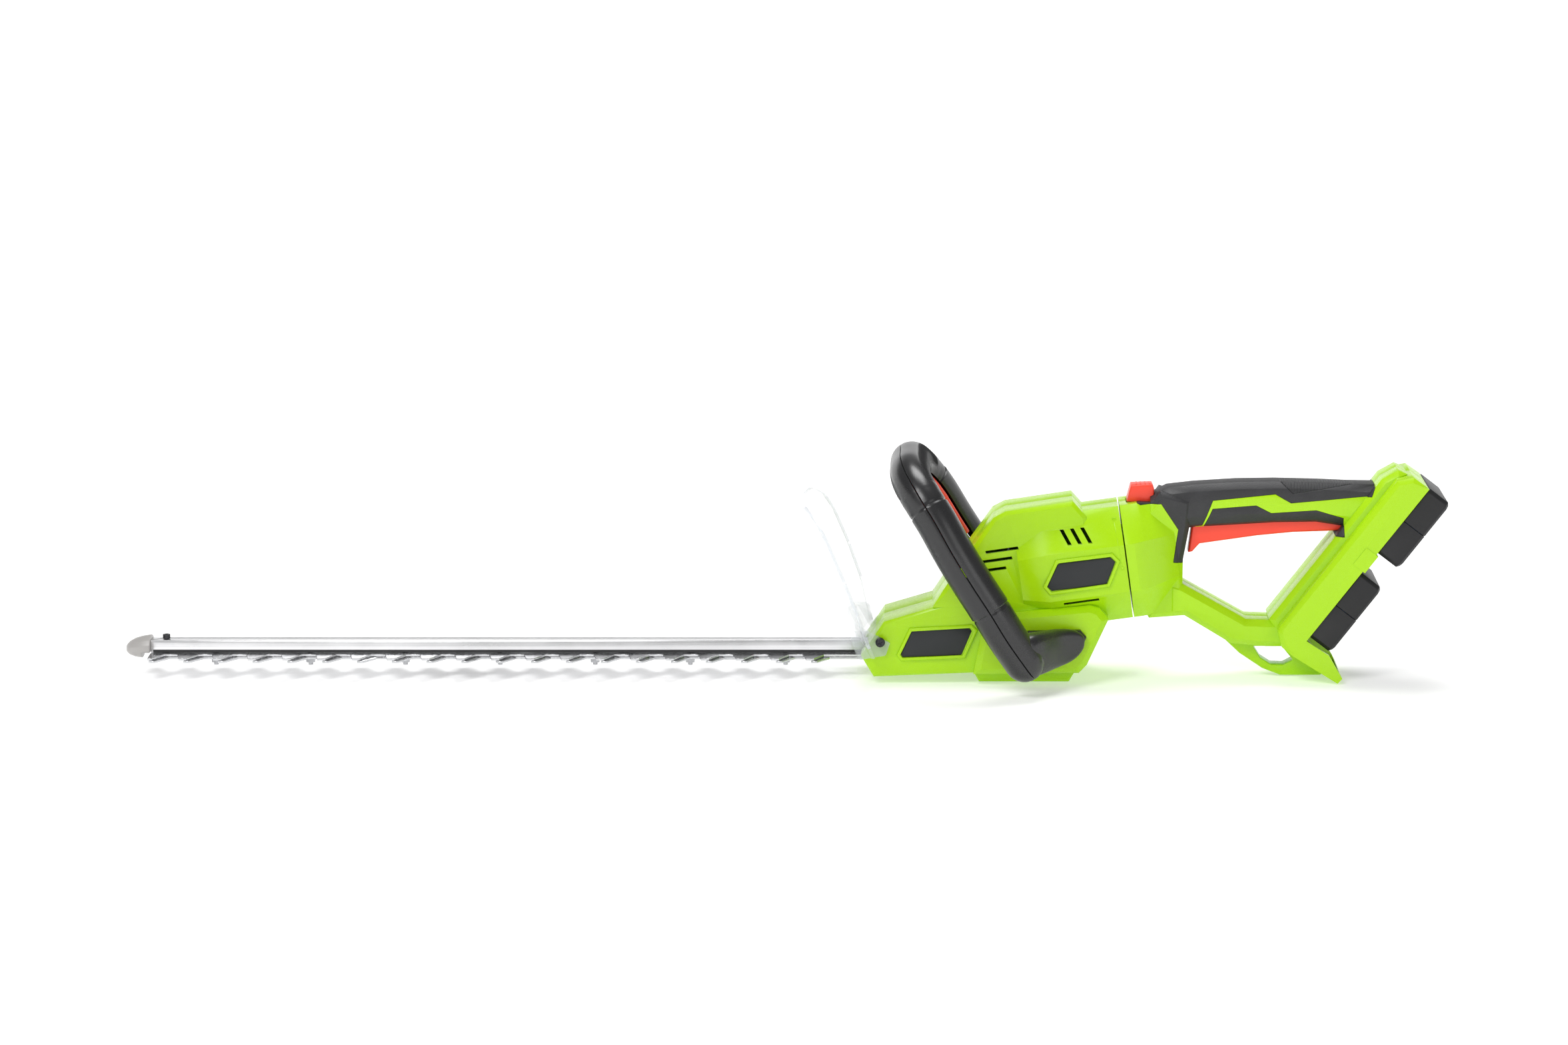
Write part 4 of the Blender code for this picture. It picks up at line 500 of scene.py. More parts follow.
def merged_copy(node: str, name: str) -> bpy.types.Object:
    """Copy a frame node's mesh into a new piece and merge its loose triangles.

    Args:
        node: name of the frame node.
        name: name of the new piece.

    Returns:
        The piece, in edit mode with everything selected.
    """
    piece = bpy.data.objects.new(name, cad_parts[node].data.copy())
    bpy.context.collection.objects.link(piece)
    only(piece)
    bpy.ops.object.mode_set(mode="EDIT")
    bpy.ops.mesh.select_all(action="SELECT")
    bpy.ops.mesh.remove_doubles(threshold=MERGE)
    return piece


def forget_normals(piece: bpy.types.Object) -> None:
    """Leave edit mode and drop normals carried over from the frame."""
    bpy.ops.object.mode_set(mode="OBJECT")
    if piece.data.has_custom_normals:
        bpy.ops.mesh.customdata_custom_splitnormals_clear()


@dataclass
class Casting:
    """A frame node recast with rounded edges."""

    node: str
    body: Body
    finish: object
    slot: str
    width: float = 0.8 * MM
    segments: int = 2
    degrees: float = 28.0

    def cast(self) -> bpy.types.Object:
        """Copy the node's mesh, merge it, round its edges and dress it.

        Returns:
            The new piece.
        """
        piece = merged_copy(self.node, f"{self.node}_cast")
        bpy.ops.mesh.dissolve_limited(angle_limit=math.radians(1.0))
        forget_normals(piece)
        modify(piece, "BEVEL", width=self.width, segments=self.segments, limit_method="ANGLE",
               angle_limit=math.radians(self.degrees), use_clamp_overlap=True, harden_normals=False,
               miter_outer="MITER_ARC")
        smooth(piece, 40.0)
        return show(piece, self.body, self.finish, self.slot, self.node)


# -------- studio

@dataclass
class Studio:
    """Bright white sweep, soft lights and the camera."""

    eye: Vector = field(default_factory=lambda: Vector((-0.06559449, -3.49141068, 0.80740378)))
    gaze: Vector = field(default_factory=lambda: Vector((-0.03716891, 0.98092324, -0.190809)))
    roll: float = math.radians(-0.47)
    lens: float = 98.68

    def build(self) -> None:
        """Make the floor, the lights, the backdrop and the camera."""
        bpy.ops.object.select_all(action="DESELECT")
        self.sweep_floor()
        world = bpy.data.worlds.new("studio")
        bpy.context.scene.world = world
        world.use_nodes = True
        world.node_tree.nodes["Background"].inputs["Color"].default_value = (1.0, 1.0, 1.0, 1.0)
        world.node_tree.nodes["Background"].inputs["Strength"].default_value = 0.20
        self.lamp("key", Vector((-1.1, -1.6, 2.2)), 1.0, 34.0)
        self.lamp("fill", Vector((1.6, -2.2, 1.4)), 1.2, 8.0)
        self.lamp("top", Vector((0.1, 0.7, 2.4)), 1.2, 38.0)
        self.camera()
        view = bpy.context.scene.view_settings
        view.view_transform = "Standard"
        view.look = "None"

    def sweep_floor(self) -> bpy.types.Object:
        """Round floor that curves up into a low wall and glows softly towards its rim.

        Returns:
            The floor.
        """
        bpy.ops.mesh.primitive_circle_add(vertices=96, radius=0.4, fill_type="TRIFAN",
                                          location=(0, 0, -0.6 * MM))
        floor = bpy.context.object
        floor.name = "floor"
        bpy.ops.object.mode_set(mode="EDIT")
        reach = 0.4
        for radius, height in ((1.2, 0.0), (2.6, 0.0), (5.0, 0.0), (6.2, 0.35), (7.0, 1.1), (7.4, 2.4)):
            bpy.ops.mesh.select_all(action="DESELECT")
            bpy.ops.mesh.select_non_manifold()
            bpy.ops.mesh.extrude_edges_move(TRANSFORM_OT_translate={"value": (0, 0, 0)})
            grow = radius / reach
            bpy.ops.transform.resize(value=(grow, grow, 1), center_override=(0, 0, 0))
            bpy.ops.transform.translate(value=(0, 0, height - self._rim(floor)))
            reach = radius
        bpy.ops.object.mode_set(mode="OBJECT")
        bpy.ops.object.transform_apply(location=True, rotation=False, scale=False)
        recipe = Recipe("paper")
        recipe.feed("Base Color", recipe.blend(recipe.noise(3.0), (0.84, 0.84, 0.84), (0.86, 0.86, 0.86)))
        recipe.feed("Roughness", 0.9)
        across, along = recipe.axis("X"), recipe.axis("Y")
        away = (across * across + along * along).root()
        glow = recipe.blend(away.ramp(0.35, 2.2), (0.34, 0.34, 0.34), (0.80, 0.80, 0.80))
        recipe.feed("Emission Color", glow)
        recipe.feed("Emission Strength", 1.0)
        floor.data.materials.append(recipe.material)
        return floor

    def _rim(self, floor: bpy.types.Object) -> float:
        """Height of the selected rim above the floor's origin."""
        shape = bmesh.from_edit_mesh(floor.data)
        return max(vertex.co.z for vertex in shape.verts if vertex.select)

    def lamp(self, name: str, place: Vector, size: float, power: float) -> None:
        """Add a square soft light aimed at the middle of the tool.

        Args:
            name: name of the light.
            place: its position.
            size: length of its sides.
            power: watts.
        """
        light = bpy.data.lights.new(name, "AREA")
        light.size = size
        light.energy = power
        lamp = bpy.data.objects.new(name, light)
        lamp.location = place
        lamp.rotation_euler = (Vector((-0.1, 0, 0.08)) - place).to_track_quat("-Z", "Y").to_euler()
        bpy.context.collection.objects.link(lamp)

    def camera(self) -> None:
        """Add the camera."""
        lens = bpy.data.cameras.new("camera")
        lens.lens = self.lens
        lens.sensor_width = 36.0
        camera = bpy.data.objects.new("camera", lens)
        right = self.gaze.cross(Vector((0, 0, 1))).normalized()
        up = right.cross(self.gaze).normalized()
        turn = Matrix((right, up, -self.gaze)).transposed() @ Matrix.Rotation(self.roll, 3, "Z")
        camera.matrix_world = Matrix.Translation(self.eye) @ turn.to_4x4()
        bpy.context.collection.objects.link(camera)
        bpy.context.scene.camera = camera


def flowing(points: Sequence[Vector], parts: int) -> list[Vector]:
    """Smooth curve through points.

    Args:
        points: points it passes.
        parts: steps between two of them.

    Returns:
        The curve's points.
    """
    ends = [points[0] * 2 - points[1], *points, points[-1] * 2 - points[-2]]
    path = []
    for i in range(1, len(ends) - 2):
        a, b, c, d = ends[i - 1:i + 3]
        for part in range(parts):
            t = part / parts
            path.append(0.5 * (2 * b + (c - a) * t + (2 * a - 5 * b + 4 * c - d) * t ** 2
                               + (3 * b - a - 3 * c + d) * t ** 3))
    path.append(points[-1])
    return path


@dataclass
class LoopHandle:
    """Front loop: two half shells with a ribbed top, seams and sunk screws, and its feet and ears."""

    radius: float = 16.5 * MM
    wall: float = 2.8 * MM
    slot: float = math.radians(29.0)
    slot_end: float = 0.099
    front: Vector = field(default_factory=lambda: Vector((-math.sin(math.radians(60)), 0, -0.5)))
    seams: tuple[float, ...] = (71.5 * MM, 152.5 * MM)
    ribs_above: float = 160.0 * MM

    def line(self) -> list[tuple[Vector, Vector, Vector]]:
        """Centre line with its forward and inward directions.

        Returns:
            Point, forward and inward at each step.
        """
        near = [(-0.5, -84, 29), (-15, -86, 50.5), (-28, -86, 72), (-43, -83.5, 95), (-57.5, -80, 118.4),
                (-71, -74, 142), (-82, -66, 158.5), (-90, -51, 169.5), (-93, -30, 174)]
        left = [Vector(point) * MM for point in near]
        right = [Vector((point.x, -point.y, point.z)) for point in reversed(left)]
        rough = flowing([*left, Vector((-93.3, 0, 174.6)) * MM, *right], 40)
        path = self.even(rough, 1.0 * MM)
        frames = []
        for i, point in enumerate(path):
            along = (path[min(i + 1, len(path) - 1)] - path[max(i - 1, 0)]).normalized()
            forward = (self.front - along * self.front.dot(along)).normalized()
            frames.append((point, forward, forward.cross(along)))
        return frames

    @staticmethod
    def even(path: Sequence[Vector], step: float) -> list[Vector]:
        """Points at equal steps along a curve."""
        spaced, left = [path[0]], step
        for a, b in zip(path, path[1:]):
            span = (b - a).length
            while span >= left:
                a = a + (b - a) * (left / span)
                spaced.append(a)
                span, left = (b - a).length, step
            left -= span
        return spaced

    def swell(self, index: int, point: Vector, angle: float) -> float:
        """Change of radius for seams, sleeves and ribs.

        Args:
            index: step along the line.
            point: centre of the section.
            angle: angle from the inside round to the outside.

        Returns:
            Metres added to the radius.
        """
        for seam in self.seams:
            if abs(point.z - seam) < 0.7 * MM:
                return -0.6 * MM
        if point.z > self.ribs_above:
            across = math.sin(angle)
            if across > 0.80 and abs(point.y) < 62 * MM:
                return -0.45 * MM if index % 2 else 0.0
            return 0.0
        return 0.3 * MM if self.seams[0] < point.z < self.seams[1] else -0.1 * MM

    def shell(self, side: int) -> bpy.types.Object:
        """Front (side 1) or rear (side -1) half tube.

        Args:
            side: which half.

        Returns:
            The piece.
        """
        rings = []
        frames = self.line()
        first, last = frames[0], frames[-1]
        domed = [(first, angle, -1) for angle in (82, 70, 58, 46, 34, 22, 11)]
        domed += [(station, 0, 0) for station in frames]
        domed += [(last, angle, 1) for angle in (11, 22, 34, 46, 58, 70, 82)]
        for i, ((point, forward, inward), bend, way) in enumerate(domed):
            start = self.slot if point.z > self.slot_end else math.radians(1.5)
            shrink = math.cos(math.radians(bend))
            along = forward.cross(inward)
            point = point + along * (-way * self.radius * math.sin(math.radians(bend)))
            inner = (self.radius - self.wall) * shrink
            angles = [start + (math.pi - start) * k / 26 for k in range(27)]
            lip = (self.radius - 0.7 * MM) * shrink
            ring = [point + inward * lip * math.cos(start) + forward * side * lip * math.sin(start)]
            for angle in angles[:-1]:
                reach = (self.radius + self.swell(i, point, angle)) * shrink
                ring.append(point + inward * reach * math.cos(angle)
                            + forward * side * reach * math.sin(angle))
            reach = (self.radius - 0.1 * MM) * shrink
            close = math.pi - 0.6 * MM / self.radius
            ring.append(point + inward * reach * math.cos(close) + forward * side * reach * math.sin(close))
            ring.append(point - inward * (self.radius - 0.8 * MM) * shrink + forward * side * 0.15 * MM)
            for angle in reversed(angles[::3]):
                ring.append(point + inward * inner * math.cos(angle)
                            + forward * side * (inner * math.sin(angle) + 0.15 * MM))
            rings.append(ring)
        name = "loop_front_half" if side > 0 else "loop_rear_half"
        return smooth(sweep(name, rings), 38.0)

    def recess(self, shell: bpy.types.Object) -> None:
        """Sink the screw holes into the front shell and put a screw in each.

        Args:
            shell: the front half tube.
        """
        frames = self.line()
        for word, side in SIDES:
            for number, height in enumerate((166.0, 119.5, 49.0)):
                choices = [station for station in frames if station[0].y * side > 0]
                point, forward, _ = min(choices, key=lambda station: abs(station[0].z - height * MM))
                bpy.ops.object.select_all(action="DESELECT")
                bpy.ops.mesh.primitive_cylinder_add(vertices=28, radius=3.3 * MM, depth=5 * MM)
                drill = bpy.context.object
                drill.matrix_world = (Matrix.Translation(point + forward * (self.radius + 0.4 * MM))
                                      @ forward.to_track_quat("Z", "Y").to_matrix().to_4x4())
                bpy.context.view_layer.update()
                modify(shell, "BOOLEAN", object=drill, operation="DIFFERENCE", solver="EXACT")
                bpy.data.objects.remove(drill)
                head = CrossHead(f"loop_shell_screw_{number + 1}_{word}",
                                 point + forward * (self.radius - 2.3 * MM), forward, 2.9 * MM, 1.0 * MM)
                head.build(Body.CASING, DARK_STEEL)

    def foot(self, word: str, side: int) -> bpy.types.Object:
        """Elbow that turns the leg in and flattens into the screwed ear.

        Args:
            word: name of the side.
            side: -1 on the left, 1 on the right.

        Returns:
            The piece.
        """
        # Along X: place, outer and inner face from the middle, top and bottom, in millimetres.
        stations = (
            (-12.0, 92.0, 78.0, 50.0, 34.0), (-6.0, 96.5, 74.0, 51.5, 25.0), (0.0, 97.5, 71.0, 52.4, 19.6),
            (6.0, 96.0, 66.0, 52.4, 17.0), (12.0, 91.5, 60.0, 52.0, 16.8), (18.0, 84.5, 54.5, 51.6, 17.8),
            (24.0, 76.5, 50.5, 51.2, 19.0), (30.0, 69.0, 49.0, 50.8, 20.4), (36.0, 63.4, 49.0, 50.2, 22.0),
            (41.0, 60.0, 49.0, 49.0, 24.6), (45.0, 57.8, 49.0, 47.0, 28.0), (48.2, 55.8, 49.0, 44.2, 32.4),
            (49.4, 54.0, 49.0, 42.0, 35.8))
        rings = []
        for x, outer, inner, top, base in stations:
            centre = Vector((x, (outer + inner) / 2 * side, (top + base) / 2)) * MM
            wide, tall = (outer - inner) / 2 * MM, (top - base) / 2 * MM
            ring = []
            for k in range(40):
                angle = 2 * math.pi * k / 40
                c, d = math.cos(angle), math.sin(angle)
                power = 0.95 if x < 6 else 0.72
                ring.append(centre + Vector((0, side * wide * math.copysign(abs(c) ** power, c),
                                             tall * math.copysign(abs(d) ** power, d))))
            rings.append(ring)
        arm = sweep(f"loop_foot_{word}", rings)
        modify(arm, "SUBSURF", levels=1, render_levels=1)
        return smooth(arm, 50.0)

    def ear(self, word: str, side: int) -> bpy.types.Object:
        """Flat flange that rests on the gearbox and takes the screw.

        Args:
            word: name of the side.
            side: -1 on the left, 1 on the right.

        Returns:
            The piece.
        """
        outline = ((3, 47), (46, 47.8), (51, 42), (47.3, 31.5), (39, 23.5), (22.5, 20), (9, 23), (0, 34))
        centre = Vector((26.0, 35.5))
        rings = []
        for depth, shrink in ((46.3, 1.0), (49.6, 1.0), (50.9, 0.965), (51.3, 0.9)):
            rings.append([Vector((centre.x + (x - centre.x) * shrink, depth * side,
                                  centre.y + (z - centre.y) * shrink)) * MM for x, z in outline])
        flange = sweep(f"loop_ear_{word}", rings)
        modify(flange, "BEVEL", width=2.2 * MM, segments=4, limit_method="ANGLE",
               angle_limit=math.radians(25), affect="EDGES")
        return smooth(flange, 40.0)

    def build(self) -> None:
        """Build and dress the loop."""
        front = self.shell(1)
        self.recess(front)
        show(smooth(front, 38.0), Body.CASING, LOOP_BLACK, "black_case", "loop_front_shell")
        show(self.shell(-1), Body.CASING, LOOP_BLACK, "black_case", "loop_rear_shell")
        for word, side in SIDES:
            for piece in (self.foot(word, side), self.ear(word, side)):
                show(piece, Body.CASING, LOOP_BLACK, "black_case", "loop_rear_shell")


@dataclass
class Shield:
    """Clear hand guard: a bowed sheet and the sleeve over the casing's nose."""

    thick: float = 3.0 * MM
    foot: float = 33.0
    top: float = 149.0
    stops: tuple[Point, ...] = ((22, 42), (40, 62), (62, 78), (95, 85), (125, 83), (140, 74), (149, 58))

    def half(self, z: float) -> float:
        """Half its width at a height, in millimetres."""
        for (z0, w0), (z1, w1) in zip(self.stops, self.stops[1:]):
            if z <= z1:
                return w0 + (w1 - w0) * max(0.0, (z - z0) / (z1 - z0))
        return self.stops[-1][1]

    def face(self, y: float, z: float) -> float:
        """Front of the sheet at a place, in millimetres."""
        rise = z - 22
        return -129.5 - 0.56 * rise + 0.00095 * rise ** 2 + 18.0 * (y / 85) ** 2

    def sheet(self) -> bpy.types.Object:
        """Bowed sheet with rounded corners.

        Returns:
            The piece.
        """
        columns, rows = 44, 60
        mesh = bpy.data.meshes.new("shield_sheet")
        shape = bmesh.new()
        grid = []
        for row in range(rows + 1):
            z = self.foot + (self.top - self.foot) * row / rows
            # The stepped outline is smoothed by averaging nearby heights.
            half = sum(self.half(min(self.top, max(self.foot, z + d))) for d in range(-7, 8, 2)) / 8
            if z > 135:
                half -= 16 * ((z - 135) / 14) ** 3
            across = [half * (2 * c / columns - 1) for c in range(columns + 1)]
            grid.append([shape.verts.new(Vector((self.face(y, z), y, z)) * MM) for y in across])
        for low, high in zip(grid, grid[1:]):
            for c in range(columns):
                shape.faces.new((low[c], low[c + 1], high[c + 1], high[c]))
        shape.to_mesh(mesh)
        shape.free()
        piece = bpy.data.objects.new("shield_sheet", mesh)
        bpy.context.collection.objects.link(piece)
        front = piece.data.polygons[0].normal.x < 0
        modify(piece, "SOLIDIFY", thickness=self.thick, offset=-1.0 if front else 1.0, use_even_offset=True)
        modify(piece, "BEVEL", width=0.8 * MM, segments=2, limit_method="ANGLE", angle_limit=math.radians(50))
        return smooth(piece, 45.0)

    def sleeve(self) -> bpy.types.Object:
        """Wall that wraps the nose, cut out of the frame's guard below the sheet.

        Returns:
            The piece.
        """
        piece = merged_copy("hand_guard", "shield_sleeve")
        bpy.ops.mesh.bisect(plane_co=(-0.15, 0, 0.0575), plane_no=(0.5, 0, 0.866), clear_outer=True,
                            use_fill=True)
        bpy.ops.mesh.select_all(action="SELECT")
        bpy.ops.mesh.normals_make_consistent(inside=False)
        forget_normals(piece)
        modify(piece, "BEVEL", width=0.5 * MM, segments=2, limit_method="ANGLE", angle_limit=math.radians(30),
               use_clamp_overlap=True)
        return smooth(piece, 35.0)

    def build(self) -> None:
        """Build and dress the guard."""
        sheet = show(self.sheet(), Body.CASING, CLEAR, "clear_guard", "hand_guard")
        sheet.data.materials.append(paints.get(CLEAR_RIM))
        for face in sheet.data.polygons:
            middle = face.center / MM
            edge = self.half(min(self.top, max(self.foot, middle.z))) - 0.9
            rim = abs(face.normal.x) < 0.35 or middle.z > self.top - 1.4 or abs(middle.y) > edge
            face.material_index = int(rim)
        show(self.sleeve(), Body.CASING, CLEAR_SLEEVE, "clear_guard", "hand_guard")


@dataclass
class LabelFrame:
    """Raised lime surround of a plain name plate."""

    name: str
    outline: tuple[Point, ...]
    face: float
    border: float = 3.0
    rise: float = 1.5

    def build(self, word: str, side: int) -> None:
        """Model the surround on one side.

        Args:
            word: name of the side.
            side: -1 on the left, 1 on the right.
        """
        rings = []
        for grow, depth in ((0.0, -0.6), (0.0, self.rise - 0.4), (0.4, self.rise),
                            (self.border - 1.4, self.rise), (self.border - 0.6, self.rise - 0.3),
                            (self.border, -0.6)):
            rings.append([Vector((x + out.x * grow, side * (self.face + depth), z + out.y * grow)) * MM
                          for (x, z), out in zip(self.outline, self.corners())])
        piece = sweep(f"{self.name}_{word}", rings, closed=True)
        modify(piece, "BEVEL", width=0.5 * MM, segments=2, limit_method="ANGLE", angle_limit=math.radians(24))
        show(smooth(piece, 30.0), Body.CASING, LIME, "lime_case")

    def corners(self) -> list[Vector]:
        """Outward mitre of each corner for a border one unit wide."""
        count = len(self.outline)
        area = sum(self.outline[i][0] * self.outline[(i + 1) % count][1]
                   - self.outline[(i + 1) % count][0] * self.outline[i][1] for i in range(count))
        turn = 1.0 if area > 0 else -1.0
        mitres = []
        for i in range(count):
            a, b, c = (Vector(self.outline[(i + k) % count]) for k in (-1, 0, 1))
            first, second = (b - a).normalized(), (c - b).normalized()
            n1, n2 = Vector((first.y, -first.x)) * turn, Vector((second.y, -second.x)) * turn
            middle = (n1 + n2).normalized()
            mitres.append(middle / max(0.5, middle.dot(n1)))
        return mitres


@dataclass
class CrossHead:
    """Pan head of a screw with a cross recess."""

    name: str
    centre: Vector
    out: Vector
    radius: float
    height: float = 1.6 * MM

    def build(self, body: Body, finish: object) -> None:
        """Model the head and sink its cross.

        Args:
            body: body it rides on.
            finish: its finish.
        """
        bpy.ops.object.select_all(action="DESELECT")
        bpy.ops.mesh.primitive_cylinder_add(vertices=32, radius=self.radius, depth=self.height)
        head = bpy.context.object
        head.name = self.name
        bpy.ops.object.mode_set(mode="EDIT")
        bpy.ops.mesh.select_all(action="DESELECT")
        bpy.ops.object.mode_set(mode="OBJECT")
        for face in head.data.polygons:
            face.select = face.normal.z > 0.9
        bpy.ops.object.mode_set(mode="EDIT")
        bpy.ops.mesh.inset(thickness=self.radius * 0.18, depth=self.height * 0.35)
        bpy.ops.mesh.inset(thickness=self.radius * 0.25, depth=self.height * 0.15)
        bpy.ops.object.mode_set(mode="OBJECT")
        for turn in (0.0, math.pi / 2):
            bpy.ops.mesh.primitive_cube_add(size=1.0)
            blade = bpy.context.object
            blade.scale = (self.radius * 1.15, self.radius * 0.26, self.height * 1.2)
            blade.location = (0, 0, self.height * 0.95)
            blade.rotation_euler = (0, 0, turn + 0.4)
            only(head)
            modify(head, "BOOLEAN", object=blade, operation="DIFFERENCE", solver="EXACT")
            bpy.data.objects.remove(blade)
        matrix = Matrix.Translation(self.centre) @ self.out.to_track_quat("Z", "Y").to_matrix().to_4x4()
        head.data.transform(matrix)
        show(smooth(head, 30.0), body, finish, "dark_steel")


@dataclass
class Details:
    """Small pieces: dark bars of painted shade under the rail, lock ribs, swivel marks and a casing screw."""

    tilt: float = math.radians(7.8)
    flat: float = 47.15

    @staticmethod
    def bar(name: str, low: Sequence[float], high: Sequence[float], radius: float) -> bpy.types.Object:
        """Rounded bar between two corners.

        Args:
            name: its name.
            low: lowest corner in millimetres.
            high: highest corner in millimetres.
            radius: radius of its edges in metres.

        Returns:
            The piece.
        """
        bpy.ops.object.select_all(action="DESELECT")
        centre = [(a + b) / 2 * MM for a, b in zip(low, high)]
        bpy.ops.mesh.primitive_cube_add(size=1.0, location=centre)
        piece = bpy.context.object
        piece.name = name
        piece.scale = [(b - a) * MM for a, b in zip(low, high)]
        bpy.ops.object.transform_apply(location=True, rotation=False, scale=True)
        bpy.ops.object.mode_set(mode="EDIT")
        bpy.ops.mesh.select_all(action="SELECT")
        bpy.ops.mesh.bevel(offset=radius, segments=3, affect="EDGES")
        bpy.ops.object.mode_set(mode="OBJECT")
        return smooth(piece, 40.0)

    def painted_shade_bars(self) -> None:
        """Dark bars between the rail and the blades, painted shade for the shadow gap there."""
        # Painted shade: black bars along the foot of the rail stand in for the shadow between rail and
        # blades.
        for word, side in SIDES:
            near, far = sorted((side * 6.6, side * 8.5))
            shade_bar = self.bar(f"rail_strip_{word}", (-726.0, near, 19.85), (-131.0, far, 22.1), 0.35 * MM)
            show(shade_bar, Body.CASING, BLACK, "rail_aluminium")

    def lock(self) -> None:
        """Ribs across the lock button."""
        low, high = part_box("lock_button")
        for number in range(4):
            x = low[0] / MM + 7.5 + number * 3.6
            top = high[2] / MM - 0.25 + (number - 3) * 0.12
            rib = self.bar(f"lock_rib_{number + 1}", (x, -6.5, top - 0.6), (x + 1.5, 6.5, top + 0.65),
                           0.4 * MM)
            show(rib, Body.LOCK, RED, "red_switch")

    def marks(self) -> None:
        """Turning mark on each side of the collar: a line between two circles, as fine raised beads."""
        for word, side in SIDES:
            for number, (x, z) in enumerate(((73.8, 136.1), (80.0, 99.1))):
                reach = self.collar(x, z)
                bpy.ops.object.select_all(action="DESELECT")
                bpy.ops.mesh.primitive_torus_add(major_radius=1.5 * MM, minor_radius=0.32 * MM,
                                                 major_segments=28, minor_segments=8,
                                                 rotation=(math.pi / 2, 0, 0),
                                                 location=Vector((x, side * reach, z)) * MM)
                bead = bpy.context.object
                bead.name = f"swivel_stop_{number + 1}_{word}"
                bpy.ops.object.transform_apply(location=True, rotation=True, scale=True)
                show(smooth(bead, 60.0), Body.CASING, LIME, "lime_case")
            places = [(80.0 - 6.2 * t, 101.0 + 33.2 * t) for t in (0, 0.25, 0.5, 0.75, 1)]
            points = [Vector((x - 0.2, side * self.collar(x, z), z)) * MM for x, z in places]
            section = [Vector((0.32 * math.cos(k * math.pi / 4), 0.22 * math.sin(k * math.pi / 4), 0)) * MM
                       for k in range(8)]
            rings = [[point + offset for offset in section] for point in points]
            show(smooth(sweep(f"swivel_line_{word}", rings), 60.0), Body.CASING, LIME, "lime_case")

    def collar(self, x: float, z: float) -> float:
        """Distance of the octagonal collar's side from the middle plane, in millimetres."""
        height = abs((z - 99.05) * math.cos(self.tilt) + (84.2 - x) * math.sin(self.tilt))
        half = self.flat * math.tan(math.radians(22.5))
        return self.flat if height <= half else self.flat - (height - half)

    def case_screw(self) -> None:
        """Sunk screw that clamps the casing halves, on the far side."""
        place = Vector((58.0, 46.2, 54.0)) * MM
        head = CrossHead("case_screw_base", place, Vector((0, 1, 0)), 3.2 * MM, 1.2 * MM)
        head.build(Body.CASING, DARK_STEEL)

    def build(self) -> None:
        """Build and dress all of them."""
        self.painted_shade_bars()
        self.lock()
        self.marks()
        self.case_screw()


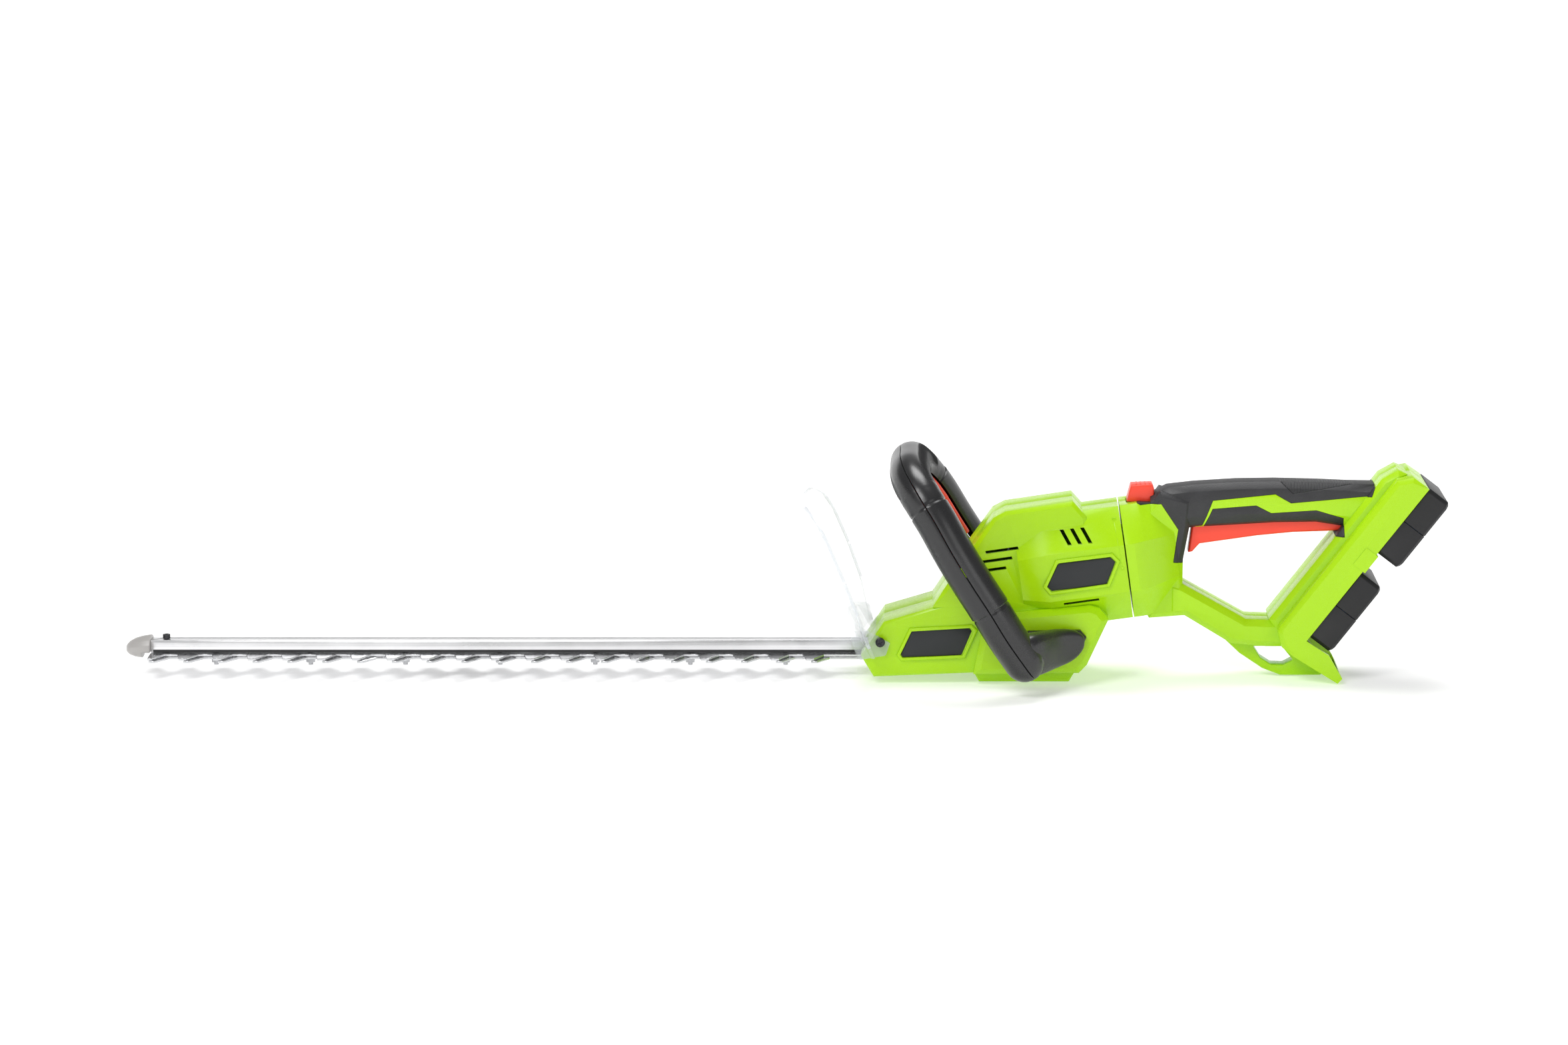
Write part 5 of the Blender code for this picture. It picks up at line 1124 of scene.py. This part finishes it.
@dataclass
class Trimmer:
    """All castings and fine pieces of the tool."""

    def build(self) -> None:
        """Recast and dress every node."""
        self.castings()
        self.insides()
        self.springs()
        LoopHandle().build()
        Shield().build()
        self.surrounds()
        self.screws()
        Details().build()

    def castings(self) -> None:
        """Round the edges of the mouldings that keep the frame's shape."""
        handle = Body.REAR_HANDLE
        for casting in (
            Casting("housing_left", Body.CASING, LIME, "lime_case", 1.0 * MM, 3),
            Casting("housing_right", Body.CASING, LIME, "lime_case", 1.0 * MM, 3),
            Casting("foot_cover", Body.CASING, LIME, "lime_case", 1.0 * MM, 3),
            Casting("front_switch_bar", Body.SWITCH_BAR, RED, "red_switch", 0.8 * MM, 2),
            Casting("nose_cap", Body.CASING, GREY, "grey_nose", 0.6 * MM, 2),
            Casting("blade_rail", Body.CASING, ALUMINIUM, "rail_aluminium", 0.4 * MM, 2),
            Casting("upper_blade", Body.UPPER_BLADE, BLADE, "blade_steel", 0.45 * MM, 1),
            Casting("lower_blade", Body.LOWER_BLADE, BLADE, "blade_steel", 0.45 * MM, 1),
            Casting("rear_handle_left", handle, LIME, "lime_case", 0.9 * MM, 3),
            Casting("rear_handle_right", handle, LIME, "lime_case", 0.9 * MM, 3),
            Casting("hang_ring", handle, LIME, "lime_case", 0.8 * MM, 3),
            Casting("upper_grip", handle, GRIP, "grip_rubber", 0.5 * MM, 2),
            Casting("lower_grip", handle, GRIP, "grip_rubber", 0.5 * MM, 2),
            Casting("rear_trigger", Body.TRIGGER, RED, "red_switch", 0.8 * MM, 2),
            Casting("lock_button", Body.LOCK, RED, "red_switch", 0.8 * MM, 2),
            *(Casting(f"{kind}_plate_{word}", Body.CASING, PLATE, "plain_plate", 0.3 * MM, 2)
              for kind in ("nose", "badge") for word, _ in SIDES),
        ):
            casting.cast()
        for word, body in (("lower", Body.LOWER_PACK), ("upper", Body.UPPER_PACK)):
            latch = Body.LOWER_LATCH if word == "lower" else Body.UPPER_LATCH
            Casting(f"{word}_pack_case_front", body, PACK_BLACK, "black_case", 1.0 * MM, 3).cast()
            Casting(f"{word}_pack_case_rear", body, PACK_BLACK, "black_case", 1.0 * MM, 3).cast()
            Casting(f"{word}_pack_latch", latch, PACK_BLACK, "black_case", 0.6 * MM, 2).cast()

    def screws(self) -> None:
        """Give the four black screws their cross heads."""
        for word, side in SIDES:
            out = Vector((0, side, 0))
            for kind, radius in (("guard", 3.9 * MM), ("loop", 4.1 * MM)):
                low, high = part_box(f"{kind}_screw_{word}")
                face = high[1] if side > 0 else low[1]
                face += side * (0.2 * MM if kind == "guard" else 0.9 * MM)
                centre = Vector(((low[0] + high[0]) / 2, face, (low[2] + high[2]) / 2))
                CrossHead(f"{kind}_screw_head_{word}", centre, out, radius).build(Body.CASING, DARK_STEEL)

    def surrounds(self) -> None:
        """Raise the surrounds of the four plates."""
        nose = ((-101.5, 24.4), (-92.2, 44.1), (-43.6, 47.0), (-41.0, 44.4), (-50.2, 24.2), (-99.6, 21.9))
        badge = ((18.6, 83.8), (27.4, 103.4), (70.8, 108.9), (75.0, 104.6), (67.8, 86.3), (22.2, 79.5))
        for word, side in SIDES:
            LabelFrame("nose_surround", nose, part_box("nose_plate_right")[1][1] / MM).build(word, side)
            LabelFrame("badge_surround", badge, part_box("badge_plate_right")[1][1] / MM).build(word, side)

    def insides(self) -> None:
        """Give the nodes that keep their own mesh their finishes."""
        finishes = {
            STEEL: ["crank_gear", "crank_pin", "drive_plate", "motor_shaft", "swivel_ring", "trigger_pin",
                    *(f"blade_bolt_{n}" for n in range(1, 8))],
            DARK_STEEL: ["nose_bolt", "guard_screw_left", "guard_screw_right", "loop_screw_left",
                         "loop_screw_right", "rail_screw_front", "rail_screw_rear", "motor_can"],
            BLACK: ["front_switch", "trigger_switch", "lower_terminals", "upper_terminals", "cooling_fan"],
            CIRCUIT: ["controller_board"],
            CELL_WRAP: ["lower_pack_cells", "upper_pack_cells"],
        }
        for finish, names in finishes.items():
            for name in names:
                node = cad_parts[name]
                node.data.materials.clear()
                node.data.materials.append(paints.get(finish))
                log.info("%s dressed in %s", name, finish.name)

    def springs(self) -> None:
        """Recast the three return springs in steel and give each its own mesh."""
        up, slope = (0.0, 0.0, 1.0), (-0.5, 0.0, 0.866025)
        for name, body, joint, axis, fixed, keep in (
            ("trigger_spring", Body.REAR_HANDLE, "trigger_hinge", up, (0.2151, 0.0, 0.15658), 0.88),
            ("lock_spring", Body.REAR_HANDLE, "lock_slide", up, (0.0961, 0.0, 0.13862), 0.50),
            ("front_switch_spring", Body.CASING, "switch_bar_slide", slope, (-0.0982, 0.022, 0.1851), 0.80),
        ):
            spring = Casting(name, body, STEEL, "bright_steel", 0.05 * MM, 1, 85.0).cast()
            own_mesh(spring)


def main() -> None:
    """Build the tool and the studio."""
    logging.basicConfig(level=logging.INFO, format="%(message)s")
    Trimmer().build()
    Studio().build()
    bpy.context.view_layer.update()


if __name__ == "__main__":
    main()
